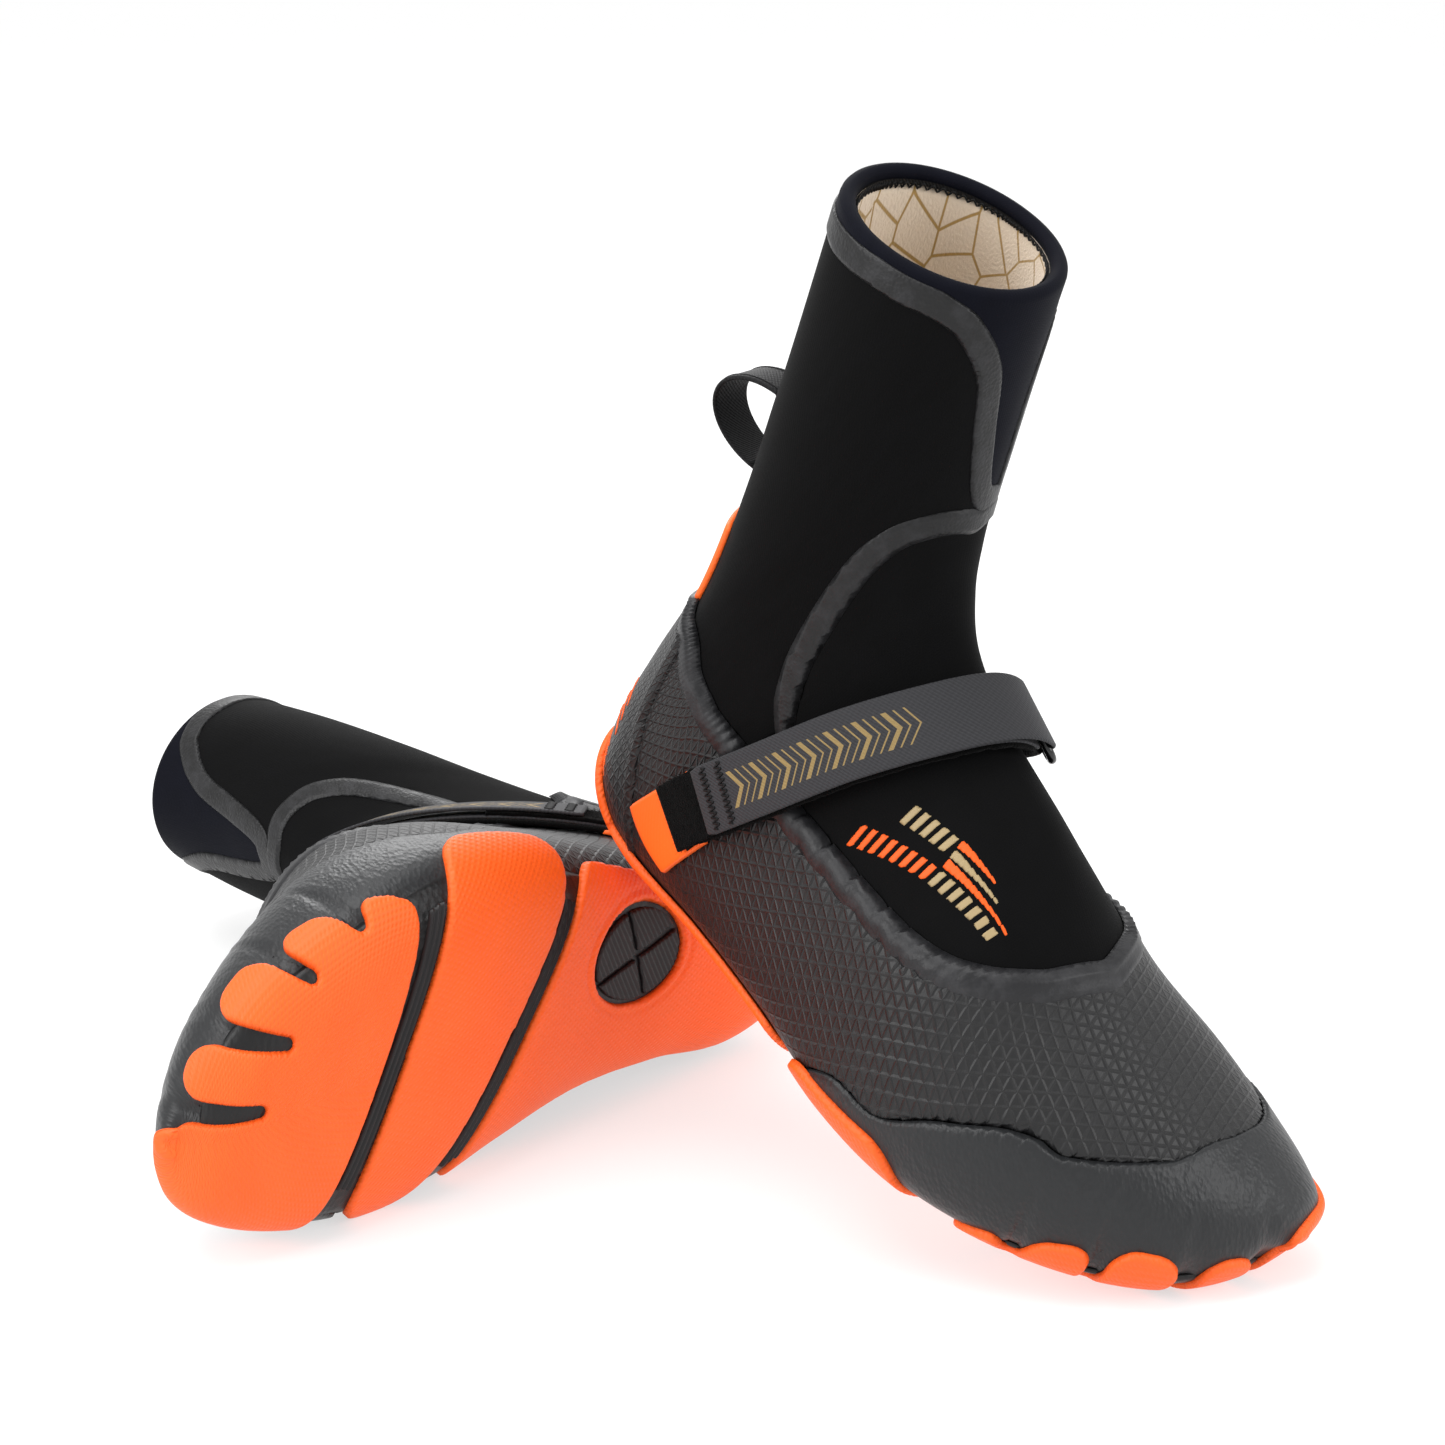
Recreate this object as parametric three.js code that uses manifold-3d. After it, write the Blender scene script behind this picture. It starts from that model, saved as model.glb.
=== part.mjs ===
// A pair of neoprene water-sport boots, in millimetres, +Z up.
// The left boot lies on its inner side with its sole upright; the right boot stands on its toes
// and leans its heel over the left one. Each boot is a neoprene sock with a fleece lining, a moulded
// rubber shell and outsole, seam tapes, a heel pull loop and an instep strap that closes by hook and loop.
import * as THREE from 'three';
import Module from 'manifold-3d';
import { mergeVertices } from 'three/addons/utils/BufferGeometryUtils.js';

const wasm = await Module();
wasm.setup();

// ---- driving dimensions ------------------------------------------------------------------------
// Cross-sections of the outer neoprene surface, fanned from the toe (0) round the ankle to the cuff (16):
// under x, under z, upper x, upper z, inner edge y, outer edge y, height of the widest point, and the
// roundness of the lower and upper halves. The heel's back is x = 0, the ball of the foot rests at z = 0.
const STATIONS = [
  [284, 21, 287, 24, 27, 19, 0.50, 2.0, 2.0],
  [280, 11, 283, 31, 41, 0, 0.45, 2.2, 2.0],
  [270, 5, 272, 39, 48, -19, 0.38, 2.6, 2.1],
  [250, 1, 254, 48, 53, -36, 0.33, 3.0, 2.2],
  [222, -1, 231, 61, 56, -51, 0.30, 3.2, 2.1],
  [190, -2, 208, 77, 53, -59, 0.28, 3.2, 1.9],
  [155, 0, 190, 98, 45, -59, 0.28, 3.2, 1.8],
  [115, 4, 168, 114, 38, -51, 0.28, 3.0, 1.8],
  [72, 4, 140, 126, 36, -42, 0.30, 2.8, 1.9],
  [32, 1, 117, 140, 37, -36, 0.36, 2.6, 2.0],
  [9, 11, 108, 158, 36, -35, 0.42, 2.3, 2.0],
  [5, 36, 105, 175, 34, -35, 0.47, 2.1, 2.0],
  [12, 69, 103, 191, 34, -36, 0.50, 2.0, 2.0],
  [22, 104, 101, 206, 36, -38, 0.50, 2.0, 2.0],
  [26, 145, 99, 221, 38, -39, 0.50, 2.0, 2.0],
  [26, 201, 98, 239, 38, -38, 0.50, 2.0, 2.0],
  [23, 262, 98, 260, 36, -34, 0.50, 2.0, 2.0],
];
const CUFF = 16;

// Stations where the faceted skins have a row, and angles where they have a column. Angles are in
// degrees round a section from the instep's midline (0) over the outer side (+) to the sole (180).
const ROWS = [0.5, 1.4, 2.6, 3.8, 4.6, 5.4, 6.2, 7.1, 8, 8.8, 9.5, 10.3, 11.1, 12, 14];
const COLUMNS = [0, 23, 46, 68, 90, 115, 140, 160, 180];
const SEAM_COLUMNS = [0, 12, 19, 23, 35, 46, 57, 68, 79, 90, 115, 140, 160, 180];

// Seam lines: [angle from the midline, station], the same on both sides of the boot.
const TOPLINE = [
  [0, 5.0], [25, 5.3], [40, 5.7], [50, 6.1], [60, 6.8], [68, 8.3], [78, 9.5], [90, 10.5],
  [115, 11.9], [140, 12.7], [180, 13.0],
];
const ARCH = [
  [0, 11.5], [18, 11.75], [38, 11.95], [50, 11.75], [58, 10.8], [63, 9.6], [68, 8.3], [180, 8.3],
];
const COLLAR = [
  [0, 12.15], [12, 12.2], [19, 12.6], [23, 14.4], [32, 15.1], [46, 15.6], [60, 15.78],
  [90, 15.83], [180, 15.8],
];

// Layers, as distances from the neoprene's outer face.
const FLEECE = [-5.4, -4.2];
const NEOPRENE = [-3.2, 0];
const TAPE = [1.3, 2.2];
const RUBBER = [0.4, 2.2];
const PAD = [2.8, 5.4];
const BAND = [2.7, 3.8];
const TAB = [0.7, 2.4];
const ANCHOR = [2.8, 4.4];
const UNDERLAY = [5.3, 6.5];
const HOOK = [6.9, 7.7];
const FLAP = [8.1, 9.5];
const CUTTER = [-5.8, 6];

const SEAM_GAP = 0.02;             // in stations, about 0.8 mm between neighbouring panels
const SEAM_WIDTH = 0.8;            // millimetres kept clear where the vamp's sides meet the calf panel
const STATION_PITCH = 50;         // degrees of angle that cover about the same length as one station
const STEEP_GAP = 2;               // degrees between panels where a seam runs straight up the shaft
const TAPE_WIDTH = 9;
const STRAP_WIDTH = 23;
const INSOLE = { bottom: 15, thickness: 3, inset: 0.57, from: 38, to: 250 };
const GROOVE_WIDTH = 6;

// Cuts of the moulded rubber: the toe cap's rear edge in plan as [x, y], and the outsole's edge and the
// heel counter's ridge in side view as [x, z].
const TOE_LINE = [
  [150, -75], [166, -61], [199, -56], [224, -47], [247, -29], [258, -12], [262, 25], [250, 44],
  [222, 56], [200, 75],
];
const SOLE_LINE = [
  [-30, 9], [20, 7], [120, 8], [235, 5], [262, 8], [276, 16], [320, 16],
];
const COUNTER_LINE = [
  [46, 140], [37, 95], [32, 66], [36, 40], [48, -20],
];
const CUT_GAP = 0.5;
const BAND_REACH = 0.13;           // half the band's width, in stations

// The treads: flex grooves and slots between the toes in plan, an oval recess under the arch, and the
// height to which each tread turns up.
const GROOVES = [
  { from: [196, -70], to: [241, 62] },
  { from: [122, -70], to: [186, 42] },
];
const TOE_SLOTS = [
  { end: [270, 10], mouth: [300, 14], width: [3.5, 8] },
  { end: [262, -11], mouth: [296, -14], width: [3.5, 9] },
  { end: [252, -30], mouth: [282, -47], width: [3.5, 10] },
  { end: [233, -44], mouth: [254, -74], width: [3.5, 12] },
];
const RECESS = { x: 102, y: -14, halfLength: 23, halfWidth: 17, clearance: 1.5 };
const TREAD_TOP = { forefoot: 20, midfoot: 18, heel: 34 };

// The strap, as [station, angle] points from the outer rear arch over the instep to the ring on the
// inner side, and the short webbing that holds the ring.
const STRAP_ROUTE = [
  [9.0, 96], [8.97, 87], [8.8, 68], [8.65, 48], [8.4, 23], [8.2, 0], [8.05, -16],
];
const KEEPER_ROUTE = [
  [8.05, -31], [8.2, -48], [8.35, -66], [8.45, -82],
];
const RING = { station: 8.05, angle: -22.5, length: 31, width: 11, bar: 3 };
const FLAP_SPLIT = { flapEnd: 58, hingeGap: 2 };

// The heel's pull loop: a D of webbing above the heel tab, drawn in the boot's middle plane.
const LOOP = { bottom: 152, top: 182, depth: 24, width: 16, thickness: 1.6 };

// How the two boots lie. Angles in degrees: turn about Z, then about Y, then about X.
const RIGHT_POSE = { position: [63.4, 21.3, 107.64], turn: -90.6, pitch: 23.6, roll: 3.4 };
const LEFT_POSE = { position: [143.4, -8.7, 32.9], turn: 0, pitch: 6.5, roll: 3.8 };

// ---- the boot's skin ---------------------------------------------------------------------------
const rad = THREE.MathUtils.degToRad;

function stationAt(t) {
  const i = Math.min(Math.max(Math.floor(t), 0), STATIONS.length - 2);
  const f = t - i;
  const pick = (k) => STATIONS[Math.min(Math.max(k, 0), STATIONS.length - 1)];
  const [p0, p1, p2, p3] = [pick(i - 1), pick(i), pick(i + 1), pick(i + 2)];
  return p1.map((value, k) => 0.5 * (2 * value + (p2[k] - p0[k]) * f
    + (2 * p0[k] - 5 * value + 4 * p2[k] - p3[k]) * f * f
    + (3 * value - p0[k] - 3 * p2[k] + p3[k]) * f * f * f));
}

function surface(t, angle) {
  const [underX, underZ, upperX, upperZ, inner, outer, widest, low, high] = stationAt(t);
  const c = Math.cos(rad(angle));
  const s = Math.sin(rad(angle));
  const power = 2 / (c > 0 ? high : low);
  const rise = Math.abs(c) ** power;
  const h = c > 0 ? widest + (1 - widest) * rise : widest * (1 - rise);
  const y = (inner + outer) / 2 - (inner - outer) / 2 * Math.sign(s) * Math.abs(s) ** power;
  return new THREE.Vector3(underX + (upperX - underX) * h, y, underZ + (upperZ - underZ) * h);
}

function normalAt(t, angle) {
  const step = 0.04;
  const along = surface(t + step, angle).sub(surface(t - step, angle));
  const around = surface(t, angle + 2).sub(surface(t, angle - 2));
  return along.cross(around).normalize();
}

function skin(t, angle, offset) {
  if (t <= 0) {
    const tip = surface(0, 0).add(surface(0, 180)).multiplyScalar(0.5);
    tip.y = (STATIONS[0][4] + STATIONS[0][5]) / 2;
    return tip.add(new THREE.Vector3(offset, 0, 0));
  }
  return surface(t, angle).addScaledVector(normalAt(t, angle), offset);
}

// The station of a seam line at an angle.
function along(line, angle) {
  const a = Math.abs(THREE.MathUtils.euclideanModulo(angle + 180, 360) - 180);
  const k = Math.max(1, line.findIndex(([knot]) => knot >= a));
  const [a0, t0] = line[k - 1];
  const [a1, t1] = line[k];
  return t0 + (t1 - t0) * (a - a0) / (a1 - a0);
}

// ---- mesh helpers ------------------------------------------------------------------------------
function closedGeometry(points, triangles) {
  const geometry = new THREE.BufferGeometry();
  const positions = points.flatMap((p) => p.toArray());
  geometry.setAttribute('position', new THREE.Float32BufferAttribute(positions, 3));
  const volume = triangles.reduce((sum, [a, b, c]) => (
    sum + points[a].dot(points[b].clone().cross(points[c]))), 0);
  const faces = volume > 0 ? triangles : triangles.map(([a, b, c]) => [a, c, b]);
  geometry.setIndex(faces.flat());
  return geometry;
}

function addQuad(triangles, a, b, c, d) {
  if (a !== b && b !== c && a !== c) triangles.push([a, b, c]);
  if (a !== c && c !== d && a !== d) triangles.push([a, c, d]);
}

// A panel of the skin between two seam lines and two angles, with the given inner and outer offset.
// A panel that starts at station 0 closes over the toe's tip.
function panel([inside, outside], from, to, start = -180, end = 180, columns = COLUMNS) {
  const ring = end - start >= 360;
  const bothSides = [...columns.slice(1).reverse().map((a) => -a), ...columns];
  const lattice = [...bothSides, ...bothSides.slice(1).map((a) => a + 360)];
  const inner = lattice.filter((a) => a > start + 1 && a < end - 1);
  const angles = ring ? [start, ...inner] : [start, ...inner, end];
  const points = [];
  const grid = [inside, outside].map((offset) => {
    let pole = -1;
    return angles.map((angle) => {
      const low = from(angle);
      const high = to(angle);
      const stations = [low, ...ROWS.map((t) => Math.min(Math.max(t, low), high)), high];
      const ids = [];
      stations.forEach((t, i) => {
        if (t === 0 && pole >= 0) {
          ids.push(pole);
        } else if (i > 0 && t === stations[i - 1]) {
          ids.push(ids[i - 1]);
        } else {
          points.push(skin(t, angle, offset));
          ids.push(points.length - 1);
        }
        if (t === 0) pole = ids[i];
      });
      return ids;
    });
  });
  const triangles = [];
  const [inIds, outIds] = grid;
  const spans = ring ? angles.length : angles.length - 1;
  const last = ROWS.length + 1;
  for (let j = 0; j < spans; j += 1) {
    const k = (j + 1) % angles.length;
    for (let i = 0; i < last; i += 1) {
      addQuad(triangles, outIds[j][i], outIds[k][i], outIds[k][i + 1], outIds[j][i + 1]);
      addQuad(triangles, inIds[j][i], inIds[j][i + 1], inIds[k][i + 1], inIds[k][i]);
    }
    addQuad(triangles, outIds[j][0], inIds[j][0], inIds[k][0], outIds[k][0]);
    addQuad(triangles, outIds[j][last], outIds[k][last], inIds[k][last], inIds[j][last]);
  }
  if (!ring) {
    for (const [j, flip] of [[0, false], [angles.length - 1, true]]) {
      for (let i = 0; i < last; i += 1) {
        const wall = [inIds[j][i], outIds[j][i], outIds[j][i + 1], inIds[j][i + 1]];
        addQuad(triangles, ...(flip ? wall.reverse() : wall));
      }
    }
  }
  const collapsed = ([a, b, c]) => points[a].equals(points[b]) || points[b].equals(points[c]);
  return closedGeometry(points, triangles.filter((triangle) => !collapsed(triangle)));
}

// A flat ribbon laid along a line of [station, angle] points on the skin.
function ribbon([inside, outside], line, width, steps) {
  const spots = line.map(([t, a]) => new THREE.Vector3(t * STATION_PITCH, a, 0));
  const route = new THREE.CatmullRomCurve3(spots, false, 'centripetal');
  const knots = route.getSpacedPoints(steps).map((p) => new THREE.Vector2(p.x / STATION_PITCH, p.y));
  const place = (i, offset) => {
    const k = Math.min(Math.max(i, 0), steps);
    return skin(knots[k].x, knots[k].y, offset);
  };
  const points = [];
  knots.forEach((knot, i) => {
    const forward = place(i + 1, 0).sub(place(i - 1, 0)).normalize();
    const normal = normalAt(knot.x, knot.y);
    const side = normal.clone().cross(forward).normalize();
    for (const [across, offset] of [[-1, inside], [1, inside], [1, outside], [-1, outside]]) {
      points.push(place(i, 0).addScaledVector(side, across * width / 2).addScaledVector(normal, offset));
    }
  });
  const triangles = [];
  for (let i = 0; i < steps; i += 1) {
    const a = 4 * i;
    const b = a + 4;
    for (let k = 0; k < 4; k += 1) {
      const n = (k + 1) % 4;
      addQuad(triangles, a + k, a + n, b + n, b + k);
    }
  }
  const end = 4 * steps;
  addQuad(triangles, 3, 2, 1, 0);
  addQuad(triangles, end, end + 1, end + 2, end + 3);
  return closedGeometry(points, triangles);
}

function toManifold(geometry) {
  const bare = geometry.clone();
  bare.deleteAttribute('normal');
  bare.deleteAttribute('uv');
  const merged = mergeVertices(bare, 1e-5);
  return new wasm.Manifold(new wasm.Mesh({
    numProp: 3,
    vertProperties: new Float32Array(merged.attributes.position.array),
    triVerts: new Uint32Array(merged.index.array),
  }));
}

function fromManifold(solid) {
  const mesh = solid.getMesh();
  const geometry = new THREE.BufferGeometry();
  const positions = new Float32Array(mesh.vertProperties);
  geometry.setAttribute('position', new THREE.BufferAttribute(positions, 3));
  geometry.setIndex(new THREE.BufferAttribute(new Uint32Array(mesh.triVerts), 1));
  return geometry;
}

function prism(outline, bottom, top) {
  const shape = new THREE.Shape(outline.map(([x, y]) => new THREE.Vector2(x, y)));
  const geometry = new THREE.ExtrudeGeometry(shape, { depth: top - bottom, bevelEnabled: false });
  return toManifold(geometry.translate(0, 0, bottom));
}

// A solid right across the boot with the given outline in side view, as [x, z] points.
function sidePrism(outline) {
  const shape = new THREE.Shape(outline.map(([x, z]) => new THREE.Vector2(x, z)));
  const geometry = new THREE.ExtrudeGeometry(shape, { depth: 200, bevelEnabled: false });
  return toManifold(geometry.rotateX(Math.PI / 2).translate(0, 100, 0));
}

function smoothOutline(points, steps) {
  const curve = new THREE.CatmullRomCurve3(points.map(([x, y]) => new THREE.Vector3(x, y, 0)), true);
  return curve.getPoints(steps).slice(0, -1).map((p) => [p.x, p.y]);
}

function oval(x, y, halfLength, halfWidth, steps) {
  return Array.from({ length: steps }, (_, i) => {
    const turn = 2 * Math.PI * i / steps;
    return [x + halfLength * Math.cos(turn), y + halfWidth * Math.sin(turn)];
  });
}

// ---- materials ---------------------------------------------------------------------------------
const finish = (color, roughness) => new THREE.MeshStandardMaterial({ color, roughness, metalness: 0 });
const MATERIALS = {
  neoprene: finish('#121213', 0.85),
  collar: finish('#15141c', 0.7),
  fleece: finish('#cdb79a', 0.95),
  binding: finish('#0d0d0e', 0.9),
  tape: finish('#454647', 0.5),
  shell: finish('#2c2d2f', 0.55),
  outsole: finish('#1b1c1d', 0.6),
  orange: finish('#f26a2b', 0.5),
  webbing: finish('#3c3c3e', 0.8),
  hook: finish('#0c0c0e', 0.9),
  ring: finish('#3a3b3d', 0.25),
  insole: finish('#26262a', 0.9),
};

// ---- the pieces of a right boot ----------------------------------------------------------------
const topline = (a) => along(TOPLINE, a);
const arch = (a) => Math.max(along(ARCH, a), topline(a));
const collar = (a) => along(COLLAR, a);

// A region of the skin between two seam lines, thick enough to cut the neoprene and the rubber with.
function region(from, to, start = -180, end = 180, columns = SEAM_COLUMNS) {
  return toManifold(panel(CUTTER, from, to, start, end, columns));
}

function sock() {
  const neoprene = toManifold(panel(NEOPRENE, () => 0, () => CUFF));
  const above = (line, gap) => (a) => line(a) + gap;
  const folded = (a) => (a > 180 ? 360 - a : Math.abs(a));
  const steepArch = (a) => arch(Math.max(folded(a) - STEEP_GAP, 0));
  const calfLow = (a) => Math.max(arch(a), steepArch(a)) + 2 * SEAM_GAP;
  const calfTop = (a) => Math.max(collar(a) - SEAM_GAP, calfLow(a));
  const vampTop = (a) => Math.max(arch(a) - SEAM_GAP, topline(a) + SEAM_GAP);
  const cut = (...limits) => neoprene.intersect(region(...limits));
  const vamp = cut(above(topline, SEAM_GAP), vampTop, -68, 68);
  const nudges = [[SEAM_WIDTH, 0, 0], [-SEAM_WIDTH, 0, 0], [0, 0, SEAM_WIDTH], [0, 0, -SEAM_WIDTH]];
  const calf = nudges.reduce((solid, nudge) => solid.subtract(vamp.translate(nudge)),
    cut(calfLow, calfTop, 19, 341).subtract(vamp));
  return {
    foot_sock: [fromManifold(cut(() => 0, above(topline, -SEAM_GAP))), 'neoprene'],
    vamp_panel: [fromManifold(vamp), 'neoprene'],
    calf_panel: [fromManifold(calf), 'neoprene'],
    collar_panel: [fromManifold(cut(above(collar, SEAM_GAP), () => CUFF + 0.2)), 'collar'],
    foot_lining: [panel(FLEECE, () => 0, () => 9.5), 'fleece'],
    shaft_lining: [panel(FLEECE, () => 9.53, () => 15.7), 'fleece'],
    cuff_binding: [panel([-5.2, -3.8], () => 15.75, () => CUFF), 'binding'],
    insole: [insole(), 'insole'],
  };
}

function insole() {
  const stretch = (x) => INSOLE.from + (x - 9) * (INSOLE.to - INSOLE.from) / (280 - 9);
  const edge = (k) => STATIONS.slice(1, 11).map((station) => {
    const middle = (station[4] + station[5]) / 2;
    return [stretch(station[0]), middle + (station[k] - middle) * INSOLE.inset];
  });
  const outline = smoothOutline([...edge(4), ...edge(5).reverse()], 28);
  return fromManifold(prism(outline, INSOLE.bottom, INSOLE.bottom + INSOLE.thickness));
}

// The moulded rubber is one skin, cut along its seams: in plan for the toe cap, and in side view
// for the outsole's edge and the ridge of the heel counter.
function rubber() {
  const skinAll = toManifold(panel(RUBBER, () => 0, () => CUFF)).intersect(region(() => 0, topline));
  const shifted = (line, dx, dy) => line.map(([x, y]) => [x + dx, y + dy]);
  const inPlan = (outline) => prism(outline, -40, 300);
  const sole = skinAll.intersect(sidePrism([...SOLE_LINE, [320, -40], [-30, -40]]));
  const upper = skinAll.intersect(sidePrism([...shifted(SOLE_LINE, 0, CUT_GAP), [320, 300], [-30, 300]]));
  const toeCap = upper.intersect(inPlan([...TOE_LINE, [320, 75], [320, -75]]));
  const behindToe = upper.intersect(inPlan([...shifted(TOE_LINE, -CUT_GAP, 0), [-40, 75], [-40, -75]]));
  const counter = behindToe.intersect(sidePrism([...COUNTER_LINE, [-40, -20], [-40, 140]]));
  const shell = behindToe.intersect(
    sidePrism([...shifted(COUNTER_LINE, CUT_GAP, 0), [320, -20], [320, 140]]),
  );
  const band = toManifold(panel(BAND, () => 3.8, () => 14)).intersect(
    region((a) => topline(a) - BAND_REACH, (a) => topline(a) + BAND_REACH, -180, 180, COLUMNS));
  return {
    outsole: [fromManifold(sole), 'outsole'],
    toe_cap: [fromManifold(toeCap), 'shell'],
    foot_shell: [fromManifold(shell), 'shell'],
    heel_counter: [fromManifold(counter), 'shell'],
    topline_band: [fromManifold(band), 'tape'],
  };
}

// A line parallel to a groove's middle, offset to its right.
function beside({ from, to }, offset) {
  const length = Math.hypot(to[0] - from[0], to[1] - from[1]);
  const [dx, dy] = [(to[1] - from[1]) / length * offset, -(to[0] - from[0]) / length * offset];
  return [[from[0] + dx, from[1] + dy], [to[0] + dx, to[1] + dy]];
}

function slotPrism({ end, mouth, width }) {
  const length = Math.hypot(mouth[0] - end[0], mouth[1] - end[1]);
  const [ux, uy] = [(mouth[0] - end[0]) / length, (mouth[1] - end[1]) / length];
  const at = (s, side) => [end[0] + ux * s - uy * side, end[1] + uy * s + ux * side];
  const [narrow, wide] = width;
  return prism([at(0, -narrow / 2), at(length, -wide / 2), at(length, wide / 2), at(0, narrow / 2),
    at(-narrow / 2, 0)], -30, 40);
}

// The orange treads are cut from one slab that follows the sole and turns up round the toes and heel.
function treads() {
  const slab = toManifold(panel(PAD, () => 0, () => 12));
  const half = GROOVE_WIDTH / 2;
  const [frontGroove, rearGroove] = GROOVES;
  const forefoot = [...beside(frontGroove, half), [300, 62], [300, -70]];
  const midfoot = [...beside(rearGroove, half), ...beside(frontGroove, -half).reverse()];
  const heel = [...beside(rearGroove, -half).reverse(), [-12, -60], [-12, 42]];
  const cut = (outline, top) => slab.intersect(prism(outline, -30, top));
  const heelSide = sidePrism([[-30, 34], [14, 34], [30, 15], [220, 15], [220, -40], [-30, -40]]);
  const recess = (grow, top) => {
    const { x, y, halfLength, halfWidth } = RECESS;
    return prism(oval(x, y, halfLength + grow, halfWidth + grow, 20), -30, top);
  };
  const slotted = (solid, slot) => solid.subtract(slotPrism(slot));
  const toes = TOE_SLOTS.reduce(slotted, cut(forefoot, TREAD_TOP.forefoot));
  const heelPad = cut(heel, TREAD_TOP.heel).intersect(heelSide);
  const insertSlab = toManifold(panel([PAD[0], PAD[0] + 1.4], () => 5.4, () => 8.8, 115, 245));
  return {
    forefoot_tread: [fromManifold(toes), 'orange'],
    midfoot_tread: [fromManifold(cut(midfoot, TREAD_TOP.midfoot)), 'orange'],
    heel_tread: [fromManifold(heelPad.subtract(recess(0, TREAD_TOP.heel))), 'orange'],
    heel_grip: [fromManifold(insertSlab.intersect(recess(-RECESS.clearance, TREAD_TOP.heel))), 'outsole'],
  };
}

function tapes() {
  const mirrorLine = (line) => [
    ...line.slice().reverse().map(([a, t]) => [t, -a]),
    ...line.map(([a, t]) => [t, a]),
  ];
  const outerHalf = COLLAR.filter(([a]) => a > 17).map(([a, t]) => [t, a]);
  const innerHalf = outerHalf.slice(0, -1).reverse().map(([t, a]) => [t, 360 - a]);
  return {
    collar_tape: [ribbon(TAPE, [...outerHalf, ...innerHalf], TAPE_WIDTH, 30), 'tape'],
    vamp_tape: [ribbon(TAPE, mirrorLine(ARCH.filter(([a]) => a > 0 && a < 63)), TAPE_WIDTH, 20), 'tape'],
  };
}

// The stretch of a route between two angles.
function part(route, from, to) {
  const curve = new THREE.CatmullRomCurve3(route.map(([t, a]) => new THREE.Vector3(t, a, 0)));
  const steps = 40;
  const within = (p) => p.y >= Math.min(from, to) && p.y <= Math.max(from, to);
  const points = curve.getPoints(steps).filter(within);
  return points.filter((_, i) => i % 3 === 0 || i === points.length - 1).map((p) => [p.x, p.y]);
}

function ringGeometry() {
  const normal = normalAt(RING.station, RING.angle);
  const ahead = surface(RING.station + 0.05, RING.angle);
  const lengthwise = ahead.sub(surface(RING.station - 0.05, RING.angle)).normalize();
  const half = [RING.length / 2, RING.width / 2];
  const outline = (grow) => {
    const radius = half[1] + grow;
    const straight = half[0] - half[1];
    return Array.from({ length: 16 }, (_, i) => {
      const turn = 2 * Math.PI * (i + 0.5) / 16;
      const x = Math.sign(Math.cos(turn)) * straight + radius * Math.cos(turn);
      return new THREE.Vector2(x, radius * Math.sin(turn));
    });
  };
  const shape = new THREE.Shape(outline(0));
  shape.holes.push(new THREE.Path(outline(-RING.bar)));
  const geometry = new THREE.ExtrudeGeometry(shape, { depth: RING.bar, bevelEnabled: false });
  const middle = (UNDERLAY[0] + FLAP[1]) / 2 - RING.bar / 2;
  const crosswise = normal.clone().cross(lengthwise).normalize();
  const place = new THREE.Matrix4().makeBasis(lengthwise, crosswise, normal);
  place.setPosition(skin(RING.station, RING.angle, middle));
  return fromManifold(toManifold(geometry.applyMatrix4(place)));
}

function strap() {
  const endStart = FLAP_SPLIT.flapEnd + FLAP_SPLIT.hingeGap;
  return {
    strap_anchor: [panel(ANCHOR, () => 8.6, () => 9.5, 94, 116), 'orange'],
    strap_underlay: [ribbon(UNDERLAY, part(STRAP_ROUTE, 90, -14), STRAP_WIDTH, 16), 'webbing'],
    ring_keeper: [ribbon(UNDERLAY, KEEPER_ROUTE, STRAP_WIDTH - 1, 9), 'webbing'],
    strap_ring: [ringGeometry(), 'ring'],
    hook_patch: [ribbon(HOOK, part(STRAP_ROUTE, 94, 62), STRAP_WIDTH, 6), 'hook'],
    strap_flap: [ribbon(FLAP, part(STRAP_ROUTE, FLAP_SPLIT.flapEnd, -14), STRAP_WIDTH, 12), 'webbing'],
    strap_end: [ribbon(FLAP, part(STRAP_ROUTE, 94, endStart), STRAP_WIDTH, 6), 'webbing'],
  };
}

function loopGeometry() {
  const outline = (grow) => {
    const height = (LOOP.top - LOOP.bottom) / 2 + grow;
    const middle = (LOOP.top + LOOP.bottom) / 2;
    const x = 23.5;
    const arc = Array.from({ length: 13 }, (_, i) => {
      const turn = Math.PI / 2 + Math.PI * i / 12;
      const back = x - LOOP.thickness + (LOOP.depth + grow) * Math.cos(turn);
      return new THREE.Vector2(back, middle + height * Math.sin(turn));
    });
    const topEnd = new THREE.Vector2(x + grow, middle + height);
    const bottomEnd = new THREE.Vector2(x + grow, middle - height);
    return [topEnd, ...arc, bottomEnd];
  };
  const shape = new THREE.Shape(outline(0));
  shape.holes.push(new THREE.Path(outline(-LOOP.thickness)));
  const geometry = new THREE.ExtrudeGeometry(shape, { depth: LOOP.width, bevelEnabled: false });
  geometry.rotateX(Math.PI / 2).translate(0, LOOP.width / 2, 0);
  return fromManifold(toManifold(geometry));
}

function heelPull() {
  const tabLow = (a) => topline(a) + 0.2;
  const tabHigh = (a) => 13.9 - 0.25 * ((a - 180) / 40) ** 2;
  const tab = region(tabLow, tabHigh, 140, 220);
  return {
    pull_tab: [fromManifold(toManifold(panel(TAB, () => 12, () => 14, 140, 220)).intersect(tab)), 'orange'],
    pull_loop: [loopGeometry(), 'webbing'],
  };
}

// ---- assembly ----------------------------------------------------------------------------------
function mirrored(geometry) {
  const copy = geometry.clone();
  copy.scale(1, -1, 1);
  const index = Array.from(copy.index.array);
  for (let i = 0; i < index.length; i += 3) {
    [index[i + 1], index[i + 2]] = [index[i + 2], index[i + 1]];
  }
  copy.setIndex(index);
  return copy;
}

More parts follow.
